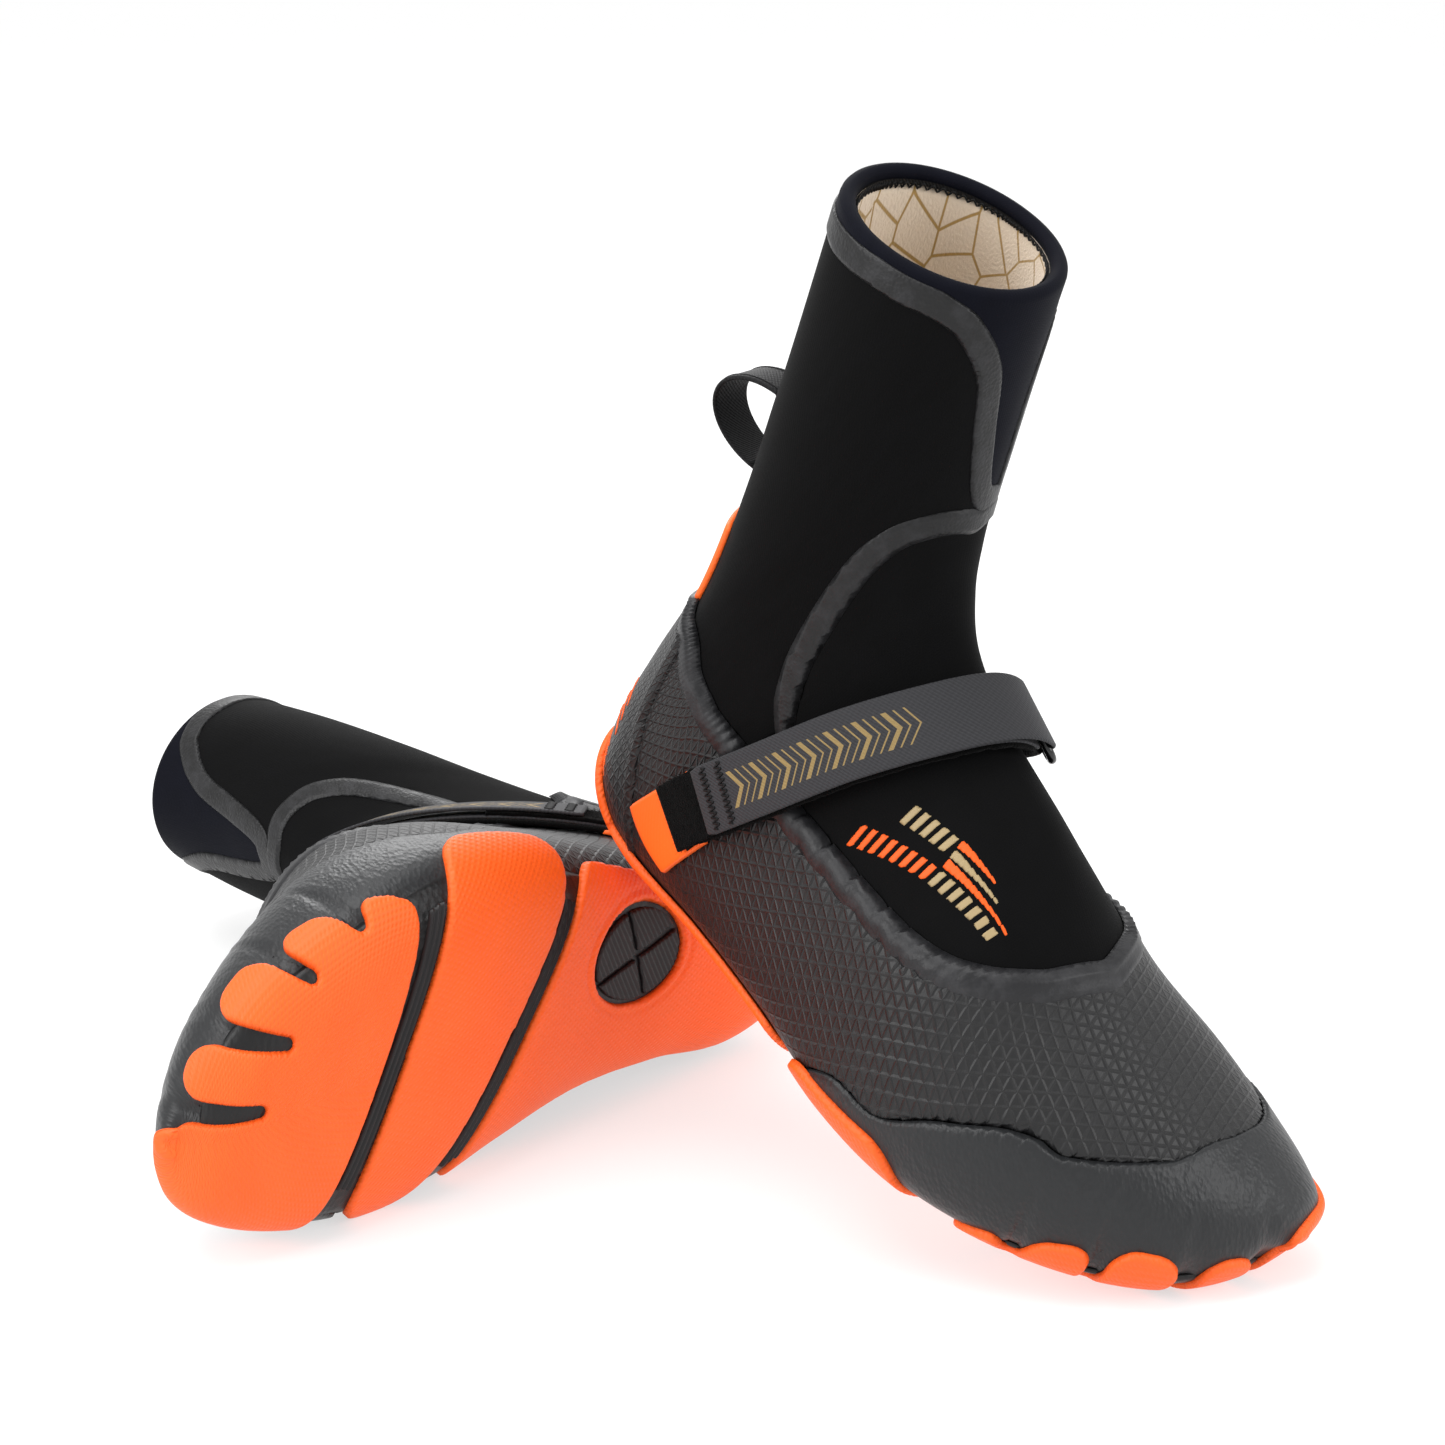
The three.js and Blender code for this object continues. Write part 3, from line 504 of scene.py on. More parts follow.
collar_tape = sheet_piece(stations_apart(11.2, 16.0, 1.1), even_angles(*RING, 1.0),
                          tape_fields(collar, 4.6, 400), 0.05, 0.75, 1.6)
both_boots("collar_seam_tape", collar_tape, [seam_tape], "tape", ["collar_tape"])
vamp_tape = sheet_piece(stations_apart(7.4, 12.4, 1.2), even_angles(-80, 80, 1.25),
                        tape_fields(arch_line, 4.5, 66), 0.1, 0.9, 2.0, soft=True)
both_boots("vamp_seam_tape", vamp_tape, [seam_tape], "tape", ["vamp_tape"])

# ---- Moulded rubber shell ----------------------------------------------------------------------
# Natural-rubber shell moulded flat and glued round the sock: a quarter with a fine triangular emboss,
# a smooth toe cap with a leather grain and creases between the toes, a heel counter with a ridge
# seam, a raised tape round the topline and a smooth black sole that the orange treads sit on.
# The cuts of the rubber, here and in the treads and strap below, started in the same way.
TOE_CAP_EDGE = np.array([[-90, 216], [-62, 215], [-50, 214], [-46, 225], [-40, 234], [-28, 246], [-14, 255],
                         [-6, 258], [3, 257], [13, 260], [32, 259], [44, 250], [56, 222], [75, 200]], float)
CAP_SIDE = np.array([[120, 0], [138, 4], [142, 9], [150, 17], [160, 24], [170, 24], [178, 22], [185, 25], [193, 31],
                     [199, 36], [214, 40], [226, 40], [236, 36], [250, 24]], float)
TOE_GAPS = [((270, 10), (300, 14)), ((262, -11), (296, -14)), ((252, -30), (282, -47)), ((233, -44), (254, -74))]
SOLE_EDGE = np.array([[-30, 9], [20, 7], [120, 8], [235, 5], [262, 8], [276, 14], [320, 14]], float)
RIDGE = np.array([[-20, 48], [40, 36], [66, 32], [95, 37], [140, 46]], float)


def eased(table):
    """A line through points [place, value], its corners rounded by an average over 15 mm."""
    place = np.arange(table[0, 0] - 30, table[-1, 0] + 31, 1.0)
    value = np.convolve(np.pad(np.interp(place, table[:, 0], table[:, 1]), 12, mode="edge"), np.hanning(25) / 12,
                        mode="valid")
    return lambda s: np.interp(s, place, value)


toe_cap_edge, cap_side = eased(TOE_CAP_EDGE), eased(CAP_SIDE)
sole_edge, ridge_line = eased(SOLE_EDGE), eased(RIDGE)


def cap_depth(p):
    """How far inside the toe cap a point is: in front of its wavy rear edge in plan, or on the outer
    side below the edge that runs back to the sole; the two are joined by a smooth maximum over 14 mm."""
    x, y, z = p[..., 0], p[..., 1], p[..., 2]
    front, side = x - toe_cap_edge(y), cap_side(x) - z - 3 * np.maximum(y + 42, 0)
    blend = np.clip(1 - np.abs(front - side) / 14, 0, 1)
    return np.maximum(front, side) + 3.5 * blend ** 2


def near_gap(p, gap):
    """Distance in plan to the line between two toes."""
    (x0, y0), (x1, y1) = gap
    along = np.clip(((p[..., 0] - x0) * (x1 - x0) + (p[..., 1] - y0) * (y1 - y0))
                    / ((x1 - x0) ** 2 + (y1 - y0) ** 2), -0.35, 1)
    return np.hypot(p[..., 0] - x0 - along * (x1 - x0), p[..., 1] - y0 - along * (y1 - y0)), along


def toe_relief(t, a, p):
    """Dents of 1.8 mm between the toes, fading up the cap, and soft creases behind them."""
    lift = np.zeros(t.shape)
    for gap in TOE_GAPS:
        away, along = near_gap(p, gap)
        fade = np.clip((34 - p[..., 2]) / 22, 0, 1)
        lift -= 1.8 * np.exp(-(away / 3.0) ** 2) * fade
        lift -= 0.35 * np.exp(-(away / 5.0) ** 2) * np.sin(p[..., 0] / 2.1 + p[..., 1] / 5) ** 2
    return lift


def embossed_rubber():
    """Moulded rubber with rows of small three-sided facets, 4.2 mm apart, satin on their edges."""
    material, shader = new_material("triangle_embossed_rubber", "#1B1B1C", 0.42, Specular_IOR_Level=0.34)
    tree = material.node_tree
    lengths = surface_lengths(tree)
    waves = [stripes(tree, lengths, angle, 4.2) for angle in (0.26, 0.26 + np.pi / 3, 0.26 + 2 * np.pi / 3)]
    lowest = math_node(tree, "MINIMUM", math_node(tree, "MINIMUM", waves[0], waves[1]), waves[2])
    groove = add_node(tree, "ShaderNodeMapRange", Value=lowest, From_Min=0.0, From_Max=0.16).outputs[0]
    facets = math_node(tree, "MULTIPLY_ADD", waves[0], 0.5, math_node(tree, "MULTIPLY", waves[1], 0.35))
    fine = stripes(tree, lengths, 1.2, 0.9)
    height = math_node(tree, "ADD", math_node(tree, "ADD", groove, facets), math_node(tree, "MULTIPLY", fine, 0.12))
    set_bump(tree, shader, height, 0.34, 0.8)
    dust = add_node(tree, "ShaderNodeTexNoise", Vector=lengths, Scale=5.0, Detail=4.0).outputs[0]
    tree.links.new(mix_colours(tree, dust, "#171718", "#1F1F20"), shader.inputs["Base Color"])
    return material


def grained_rubber(name, colour, lighter, grain_mm):
    """Smooth moulded rubber with a leather grain: rounded cells between fine creases."""
    material, shader = new_material(name, colour, 0.36, Specular_IOR_Level=0.34)
    tree = material.node_tree
    lengths = surface_lengths(tree)
    cells = add_node(tree, "ShaderNodeTexVoronoi", {"feature": "SMOOTH_F1"}, Vector=lengths,
                     Scale=100 / grain_mm, Smoothness=0.4).outputs["Distance"]
    creases = add_node(tree, "ShaderNodeTexNoise", Vector=lengths, Scale=30.0, Detail=6.0, Roughness=0.7).outputs[0]
    set_bump(tree, shader, math_node(tree, "ADD", math_node(tree, "SUBTRACT", 1.0, cells), creases), 0.28, 0.8)
    tree.links.new(mix_colours(tree, creases, colour, lighter), shader.inputs["Base Color"])
    return material


quarter_rubber = embossed_rubber()
cap_rubber = grained_rubber("leather_grained_rubber", "#1C1D1E", "#252628", 1.5)
sole_rubber = grained_rubber("smooth_sole_rubber", "#0D0D0E", "#141415", 2.6)

shell = sheet_piece(stations_apart(2.0, 13.1, 1.9), even_angles(*RING, 1.8),
                    lambda t, a, p: [topline(a) + 0.02 - t, 1.0 - cap_depth(p)], 0.5, 2.1, 1.4)
both_boots("rubber_quarter", shell, [quarter_rubber], "shell", ["foot_shell"])
cap = sheet_piece(stations_apart(-TIP, 7.4, 1.3), even_angles(*RING, 1.35),
                  lambda t, a, p: [cap_depth(p)], 1.9, 3.1, 2.2, toe_relief)
both_boots("toe_cap", cap, [cap_rubber], "shell", ["toe_cap"])


def ridge_relief(t, a, p):
    """The counter's front edge is a welt 5 mm wide and 0.9 mm high."""
    edge = ridge_line(p[..., 2]) - p[..., 0]
    return 0.9 * np.exp(-((edge - 3.2) / 1.9) ** 2)


counter = sheet_piece(stations_apart(8.4, 13.1, 1.7), even_angles(70, 290, 1.6),
                      lambda t, a, p: [topline(a) + 0.02 - t, ridge_line(p[..., 2]) - p[..., 0]], 1.6, 2.7, 1.2,
                      ridge_relief)
both_boots("heel_counter", counter, [quarter_rubber], "shell", ["heel_counter"])
sole = sheet_piece(stations_apart(-TIP, 12.6, 2.0), even_angles(*RING, 1.9),
                   lambda t, a, p: [sole_edge(p[..., 0]) + 1.5 - p[..., 2]], 1.9, 3.2, 2.4)
both_boots("black_sole", sole, [sole_rubber], "outsole", ["outsole"])


def topline_band(t, a, p):
    """A strip 12.8 mm wide that follows the topline."""
    return [6.4 - np.abs(line_distance(topline, t, a, p))]


def band_relief(t, a, p):
    """A rolled lip 0.7 mm high along the band's upper edge."""
    return 0.7 * np.exp(-((line_distance(topline, t, a, p) - 3.4) / 1.5) ** 2)


band = sheet_piece(stations_apart(4.3, 13.6, 1.3), even_angles(*RING, 1.3), topline_band, 0.4, 2.9, 4.0, band_relief,
                   soft=True)
band_rubber = tape_material("satin_band_rubber", "#1E1E20", "#2F2F31", 0.10)
both_boots("topline_band", band, [band_rubber], "tape", ["topline_band"])

# ---- Orange treads -----------------------------------------------------------------------------
# Three pads of soft orange rubber moulded on the sole: a forefoot with a lobe under each toe that
# turns up in front, a diagonal midfoot band and a heel pad that turns up the heel, with two flex
# grooves between them and an oval window over a ribbed grip.
GROOVES = [((196, -70), (241, 62)), ((122, -70), (186, 42))]
GROOVE_HALF = 3.9
WINDOW = (102, -14, 23, 17)          # centre x, y and half axes, mm


def past(p, groove):
    """Signed distance in plan from a groove's middle, positive towards the toes."""
    (x0, y0), (x1, y1) = groove
    length = np.hypot(x1 - x0, y1 - y0)
    return ((p[..., 0] - x0) * (y1 - y0) - (p[..., 1] - y0) * (x1 - x0)) / length


def slot_distance(p, gap, narrow, widening):
    """Distance outside a slot that opens between two toes and has a round inner end."""
    (x0, y0), (x1, y1) = gap
    length = np.hypot(x1 - x0, y1 - y0)
    ux, uy = (x1 - x0) / length, (y1 - y0) / length
    along = np.clip((p[..., 0] - x0) * ux + (p[..., 1] - y0) * uy, 0, None)
    away = np.hypot(p[..., 0] - x0 - along * ux, p[..., 1] - y0 - along * uy)
    return away - narrow - widening * along


def rounded_and(first, second, radius):
    """The smaller of two distances, with the corner between them rounded to a radius."""
    u, v = np.maximum(radius - first, 0), np.maximum(radius - second, 0)
    return np.where((u > 0) & (v > 0), radius - np.hypot(u, v), np.minimum(first, second))


def forefoot_fields(t, a, p):
    top = 22 + 5 * np.exp(-((p[..., 1] - 30) / 14) ** 2) - 15 * np.clip((262 - p[..., 0]) / 45, 0, 1)
    inside = rounded_and(past(p, GROOVES[0]) - GROOVE_HALF, top - p[..., 2], 13)
    for gap, narrow in zip(TOE_GAPS, (1.9, 1.9, 1.9, 2.1)):
        inside = rounded_and(inside, slot_distance(p, gap, narrow, 0.11), 8)
    return [inside]


def midfoot_fields(t, a, p):
    inside = rounded_and(past(p, GROOVES[1]) - GROOVE_HALF, -past(p, GROOVES[0]) - GROOVE_HALF, 4)
    top = np.where(p[..., 1] < 0, 17.0, 9.0)
    return [rounded_and(inside, top - p[..., 2], 14)]


def heel_fields(t, a, p):
    top = 13 + 20 * np.clip((26 - p[..., 0]) / 20, 0, 1)
    inside = rounded_and(-past(p, GROOVES[1]) - GROOVE_HALF, top - p[..., 2], 9)
    x, y, half_x, half_y = WINDOW
    ratio = np.hypot((p[..., 0] - x) / half_x, (p[..., 1] - y) / half_y)
    window = np.where(p[..., 2] < 30, (ratio - 1) * 17, 50)
    return [np.minimum(inside, window)]


def heel_relief(t, a, p):
    """A groove 0.6 mm deep round the window, 3.6 mm outside it."""
    x, y, half_x, half_y = WINDOW
    out = (np.hypot((p[..., 0] - x) / half_x, (p[..., 1] - y) / half_y) - 1) * 18
    return -0.6 * np.exp(-((out - 3.6) / 0.8) ** 2) * (p[..., 2] < 30)


def tread_rubber(name, colour, lighter, depth):
    """Soft orange rubber with a shallow cross hatch, 1.8 mm apart, moulded for grip."""
    material, shader = new_material(name, colour, 0.50, Specular_IOR_Level=0.35)
    tree = material.node_tree
    lengths = surface_lengths(tree)
    first, second = stripes(tree, lengths, 0.6, 1.8), stripes(tree, lengths, -0.6, 1.8)
    set_bump(tree, shader, math_node(tree, "MULTIPLY", first, second), depth, 1.0)
    cloud = add_node(tree, "ShaderNodeTexNoise", Vector=lengths, Scale=4.0, Detail=3.0).outputs[0]
    tree.links.new(mix_colours(tree, cloud, colour, lighter), shader.inputs["Base Color"])
    return material


orange_rubber = tread_rubber("orange_grip_rubber", "#F45A14", "#F9641E", 0.9)
PAD = dict(low=2.9, high=5.3, edge=1.7)
tread_columns = even_angles(95, 265, 1.15)
forefoot = sheet_piece(stations_apart(-TIP, 6.2, 1.15), even_angles(*RING, 1.2), forefoot_fields, **PAD)
both_boots("forefoot_tread", forefoot, [orange_rubber], "orange_rubber", ["forefoot_tread"])
midfoot = sheet_piece(stations_apart(3.6, 9.0, 1.3), tread_columns, midfoot_fields, **PAD)
both_boots("midfoot_tread", midfoot, [orange_rubber], "orange_rubber", ["midfoot_tread"])
heel = sheet_piece(stations_apart(5.2, 11.6, 0.95), even_angles(80, 280, 0.85), heel_fields,
                   relief=heel_relief, **PAD)
both_boots("heel_tread", heel, [orange_rubber], "orange_rubber", ["heel_tread"])

# ---- Instep strap ------------------------------------------------------------------------------
# Grey twill webbing, 23 mm wide: sewn under the outer ankle, it crosses the instep over a black
# backing, turns round a bar of a moulded ring on the inner side and comes back over itself, where its
# zigzag-stitched end holds on a patch of loop pile beside an orange tab. A keeper holds the ring.
STRAP_ROUTE = [[9.0, 96], [8.97, 87], [8.8, 68], [8.65, 48], [8.4, 23], [8.2, 0], [8.05, -16], [8.03, -22.5],
               [8.05, -31], [8.2, -48], [8.35, -66], [8.45, -86]]
STRAP_WIDTH, WEBBING = 23.0, 1.3       # mm
RING_ANGLE = -22.5                     # where the ring lies on the route
BAR_ARM, BAR_LIFT = 4.0, 7.4           # the ring's bars: mm from its middle, and off the form


def route(first, last, count, offset):
    """Points and normals along the strap's smooth line between two angles, `offset` mm off the form."""
    knots = np.array(STRAP_ROUTE, float)[::-1]
    fine = np.arange(-110.0, 121.0, 1.0)
    bell = np.hanning(15) / np.hanning(15).sum()
    stations = np.convolve(np.pad(np.interp(fine, knots[:, 1], knots[:, 0]), 7, mode="edge"), bell, mode="valid")
    angle = np.linspace(first, last, count)
    point, normal = form(np.interp(angle, fine, stations), angle)
    return point + normal * np.asarray(offset, float).reshape(-1, 1), normal


def ribbon(points, normals, width, thickness):
    """Webbing along a path: a section with half-round edges and a closed end at each end. Its map runs
    across and along the webbing in mm, with the under side 60 mm to one side."""
    forward = unit(np.gradient(points, axis=0))
    side = unit(np.cross(normals, forward))
    up = np.cross(forward, side)
    r, turn, flats = thickness / 2, np.linspace(0, np.pi, 9), np.linspace(1, -1, 14)[1:-1]
    profile = [(1, np.cos(a - np.pi / 2) * r, np.sin(a - np.pi / 2) * r) for a in turn]
    profile += [(s, 0, r) for s in flats]
    profile += [(-1, np.cos(a + np.pi / 2) * r, np.sin(a + np.pi / 2) * r) for a in turn]
    profile += [(-s, 0, -r) for s in flats]
    profile = np.array(profile)
    half = np.broadcast_to(np.asarray(width, float) / 2 - r, (len(points),))
    across = profile[:, 0] * half[:, None] + profile[:, 1]
    grid = points[:, None] + side[:, None] * across[..., None] + up[:, None] * profile[None, :, 2, None]
    rows, count = grid.shape[:2]
    length = np.concatenate([[0], np.cumsum(np.linalg.norm(np.diff(points, axis=0), axis=1))])
    flat = np.stack([across + np.where(profile[:, 2] < -r / 2, 60.0, 0.0),
                     np.broadcast_to(length[:, None], across.shape)], -1)
    i, k = np.meshgrid(np.arange(rows - 1), np.arange(count), indexing="ij")
    n = (k + 1) % count
    quads = np.stack([i * count + k, i * count + n, (i + 1) * count + n, (i + 1) * count + k], -1).reshape(-1, 4)
    fan = np.arange(1, count - 1)
    near = np.stack([fan + 1, fan, fan * 0, fan * 0], -1)
    far = np.stack([fan * 0, fan, fan + 1, fan + 1], -1) + (rows - 1) * count
    return grid.reshape(-1, 3), np.concatenate([quads, near, far]), flat.reshape(-1, 2)


def tube(points, ups, radius, sides=7, closed=False):
    """A round cord or bar along a path: a circle across the path at each point, closed or capped."""
    ahead = np.roll(points, -1, 0) - np.roll(points, 1, 0) if closed else np.gradient(points, axis=0)
    forward = unit(ahead)
    side = unit(np.cross(ups, forward))
    up = np.cross(forward, side)
    turn = np.arange(sides) * 2 * np.pi / sides
    grid = points[:, None] + radius * (side[:, None] * np.cos(turn)[:, None] + up[:, None] * np.sin(turn)[:, None])
    rows = len(points)
    i, k = np.meshgrid(np.arange(rows if closed else rows - 1), np.arange(sides), indexing="ij")
    n, j = (k + 1) % sides, (i + 1) % rows
    faces = np.stack([i * sides + k, i * sides + n, j * sides + n, j * sides + k], -1).reshape(-1, 4)
    if not closed:
        fan = np.arange(1, sides - 1)
        near = np.stack([fan + 1, fan, fan * 0, fan * 0], -1)
        faces = np.concatenate([faces, near, near[:, [2, 1, 0, 0]] + (rows - 1) * sides])
    length = np.concatenate([[0], np.cumsum(np.linalg.norm(np.diff(points, axis=0), axis=1))])
    flat = np.stack([np.broadcast_to(turn * radius, (rows, sides)), np.broadcast_to(length[:, None], (rows, sides))], -1)
    return grid.reshape(-1, 3), faces, flat.reshape(-1, 2)


def joined(*shapes):
    """Several shapes as one, and the number of the shape that each face came from."""
    starts = np.cumsum([0] + [len(shape[0]) for shape in shapes[:-1]])
    whole = (np.concatenate([shape[0] for shape in shapes]),
             np.concatenate([shape[1] + start for shape, start in zip(shapes, starts)]),
             np.concatenate([shape[2] for shape in shapes]))
    return whole, np.concatenate([np.full(len(shape[1]), k) for k, shape in enumerate(shapes)])


def webbing_material(name, colour, lighter, printed):
    """Woven polyester: a diagonal twill drawn 1.0 mm apart where the real one is 0.5, and on the strap a
    plain row of printed gold chevrons, 12 mm high."""
    material, shader = new_material(name, colour, 0.60, Sheen_Weight=0.03, Specular_IOR_Level=0.16)
    tree = material.node_tree
    lengths = surface_lengths(tree)
    twill, cross = stripes(tree, lengths, 0.75, 1.0), stripes(tree, lengths, -0.75, 1.7)
    rows = math_node(tree, "MULTIPLY_ADD", cross, 0.4, twill)
    set_bump(tree, shader, rows, 0.30, 0.8)
    tone = mix_colours(tree, rows, colour, lighter)
    if printed:
        parts = add_node(tree, "ShaderNodeSeparateXYZ", i0=lengths).outputs
        across = math_node(tree, "ABSOLUTE", math_node(tree, "MULTIPLY", parts[0], 100.0))
        along = math_node(tree, "MULTIPLY", parts[1], 100.0)
        slant = math_node(tree, "MULTIPLY_ADD", across, 0.75, along)
        wave = math_node(tree, "PINGPONG", slant, 5.2)
        thick = math_node(tree, "COMPARE", wave, 0.0, 0.95)
        thin = math_node(tree, "COMPARE", wave, 3.5, 0.33)
        inside = math_node(tree, "LESS_THAN", across, 6.0)
        first = math_node(tree, "GREATER_THAN", slant, PRINT_SPAN[0])
        last = math_node(tree, "LESS_THAN", slant, PRINT_SPAN[1])
        mark = math_node(tree, "MAXIMUM", thick, thin)
        for limit in (inside, first, last):
            mark = math_node(tree, "MULTIPLY", mark, limit)
        gold = add_node(tree, "ShaderNodeMix", {"data_type": "RGBA"}, i0=mark, i6=tone, i7=linear("#8A754C"))
        tone = gold.outputs[2]
    tree.links.new(tone, shader.inputs["Base Color"])
    return material


PRINT_SPAN = (18.2, 91.0)              # mm from the strap's free end
strap_webbing = webbing_material("grey_twill_webbing", "#29292B", "#3B3B3E", True)
black_webbing = webbing_material("black_twill_webbing", "#0A0A0B", "#141416", False)
thread, _ = new_material("black_bonded_thread", "#0B0B0C", 0.55, Specular_IOR_Level=0.2)
acetal, _ = new_material("glossy_black_acetal", "#0A0A0B", 0.16, Specular_IOR_Level=0.55)


def pile_material():
    """Loop pile: a black mat of tiny nylon loops that scatter the light."""
    material, shader = new_material("black_loop_pile", "#030303", 0.95, Sheen_Weight=0.03, Sheen_Roughness=0.6,
                                    Specular_IOR_Level=0.04)
    tree = material.node_tree
    fuzz = add_node(tree, "ShaderNodeTexNoise", Vector=surface_lengths(tree), Scale=180.0, Detail=4.0).outputs[0]
    set_bump(tree, shader, fuzz, 0.8, 1.0)
    return material


loop_pile = pile_material()
ring_point, ring_normal = route(RING_ANGLE - 1, RING_ANGLE + 1, 3, 0.0)
ring_normal = ring_normal[1]
outwards = unit(ring_point[2] - ring_point[0])       # towards the outer side, along the strap
lengthwise = unit(np.cross(outwards, ring_normal))   # along the ring's bars
ring_middle = ring_point[1] + ring_normal * BAR_LIFT


def round_the_bar(sign, part=1.0, steps=9):
    """Half a turn of webbing, or a part of it, on the inside of a bar, from above it to below it; sign +1 is
    the bar on the outer side."""
    turn = np.linspace(0, np.pi * part, steps)[:, None]
    radius = 1.5 + WEBBING / 2
    spoke = ring_normal * np.cos(turn) - outwards * sign * np.sin(turn)
    return ring_middle + outwards * sign * BAR_ARM + spoke * radius, spoke


over, over_normal = route(83.5, -15, 110, 8.8 + 0.8 * np.clip(np.linspace(-4, 1, 110), 0, 1))
bend, bend_normal = round_the_bar(1, 0.72)
flap_width = STRAP_WIDTH - 1.6 * np.clip(1 - np.arange(119) / 2, 0, 1)
flap = ribbon(np.concatenate([over, bend]), np.concatenate([over_normal, bend_normal]), flap_width, WEBBING)


def stitched_bar(angle, offset):
    """A close zigzag across the webbing, 5 mm wide, like the end of a bar tack."""
    point, normal = route(angle - 1, angle + 1, 3, offset)
    step = unit(point[2] - point[0])
    side = unit(np.cross(normal[1], step))
    place = np.linspace(-10.2, 10.2, 170)
    swing = 2 / np.pi * np.arcsin(np.sin(place * 3.4)) * 1.55
    base, base_normal = route(angle - 8, angle + 8, 33, offset)
    reach = np.linalg.norm(base - base[16], axis=1) * np.sign(np.arange(33) - 16)
    curve = np.stack([np.interp(swing, reach, base[:, k]) for k in range(3)], -1)
    return tube(curve + side * place[:, None], np.tile(normal[1], (170, 1)), 0.38, 5)


tacks = [stitched_bar(angle, 9.55) for angle in (80.6, 76.6)]
flap_shape, flap_part = joined(flap, *tacks)
peel_points, _ = route(63, 53, 3, 8.8)
for side in ("right", "left"):
    webbing = new_piece("strap_webbing", side, flap_shape, [strap_webbing, thread], "webbing",
                        ["strap_flap", "strap_end"], None, face_material=np.minimum(flap_part, 1))
    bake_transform(webbing)

under_run = ribbon(*route(91, -15.5, 90, 5.75 - 0.35 * np.clip(np.linspace(-9, 1, 90), 0, 1)),
                   STRAP_WIDTH - 1, WEBBING)
ragged = 0.8 * np.convolve(np.random.default_rng(5).uniform(-1, 1, 112), [0.25, 0.5, 0.25], mode="valid")
backing = ribbon(*route(93, -13, 110, 4.2), STRAP_WIDTH + 1.2 + ragged, 1.9)
under_shape, under_part = joined(under_run, backing)
both_boots("strap_under_run", under_shape, [strap_webbing, loop_pile], "webbing", ["strap_underlay"],
           face_material=under_part)

low_run, low_normal = route(-86, -31, 50, np.linspace(4.6, 5.4, 50))
top_run, top_normal = route(-31, -68, 34, 9.4 - 2.5 * np.clip(np.linspace(0, 3, 34), 0, 1))
bend, bend_normal = round_the_bar(-1)
keeper = ribbon(np.concatenate([low_run, bend[::-1], top_run]),
                np.concatenate([low_normal, -bend_normal[::-1], -top_normal]), STRAP_WIDTH - 2, WEBBING)
box, box_normal = route(-46, -62, 24, 7.75)
box_side = unit(np.cross(box_normal, unit(np.gradient(box, axis=0))))
seams = [tube(box + box_side * reach, box_normal, 0.3, 5) for reach in (-8.5, 8.5)]
seams += [tube(box + box_side * (np.linspace(-8.5, 8.5, 24) * sign)[:, None], box_normal, 0.3, 5)
          for sign in (1, -1)]
keeper_shape, keeper_part = joined(keeper, *seams)
both_boots("ring_keeper", keeper_shape, [black_webbing, thread], "webbing", ["ring_keeper"],
           face_material=np.minimum(keeper_part, 1))

turn = np.arange(64) * 2 * np.pi / 64
bar_path = (ring_middle + lengthwise * (np.sign(np.cos(turn)) * 10.0 + BAR_ARM * np.cos(turn))[:, None]
            + outwards * (BAR_ARM * np.sin(turn))[:, None])
ring_shape = tube(bar_path, np.tile(ring_normal, (64, 1)), 1.5, 14, closed=True)
both_boots("strap_ring", ring_shape, [acetal], "ring", ["strap_ring"], "ring")


def hook_pile(count, seed):
    """Short bristles standing on the patch: thin three-sided spikes 0.9 to 1.5 mm long, leaning at random."""
    rng = np.random.default_rng(seed)
    line, normals = route(64, 93.6, 80, 7.1)
    at = rng.uniform(0, 79, count)
    near = at.astype(int)
    base = line[near] + (line[np.minimum(near + 1, 79)] - line[near]) * (at - near)[:, None]
    normal = normals[near]
    side = unit(np.cross(normal, unit(np.gradient(line, axis=0))[near]))
    edge = rng.uniform(-1, 1, count)
    base = base + side * (edge * (STRAP_WIDTH / 2 - 0.3))[:, None]
    lean = rng.normal(0, 0.5, (count, 3)) + side * (edge ** 5)[:, None] * 0.8
    tip = base + (normal + lean) * rng.uniform(0.9, 1.5, count)[:, None]
    across, along = unit(np.cross(normal, lean)) * 0.13, unit(lean) * 0.13
    corners = np.stack([base + across, base - across * 0.5 + along, base - across * 0.5 - along, tip], 1)
    first = np.arange(count)[:, None] * 4
    faces = np.concatenate([first + np.array(f) for f in ([0, 1, 3, 3], [1, 2, 3, 3], [2, 0, 3, 3], [0, 2, 1, 1])])
    return corners.reshape(-1, 3), faces, corners.reshape(-1, 3)[:, :2]


patch_points, patch_normals = route(64, 94, 70, 7.1)
patch = ribbon(patch_points, patch_normals, STRAP_WIDTH - 0.3 + ragged[:70], 1.5)
patch_shape, _ = joined(patch, hook_pile(5200, 11))
both_boots("hook_patch", patch_shape, [loop_pile], "hook", ["hook_patch"])


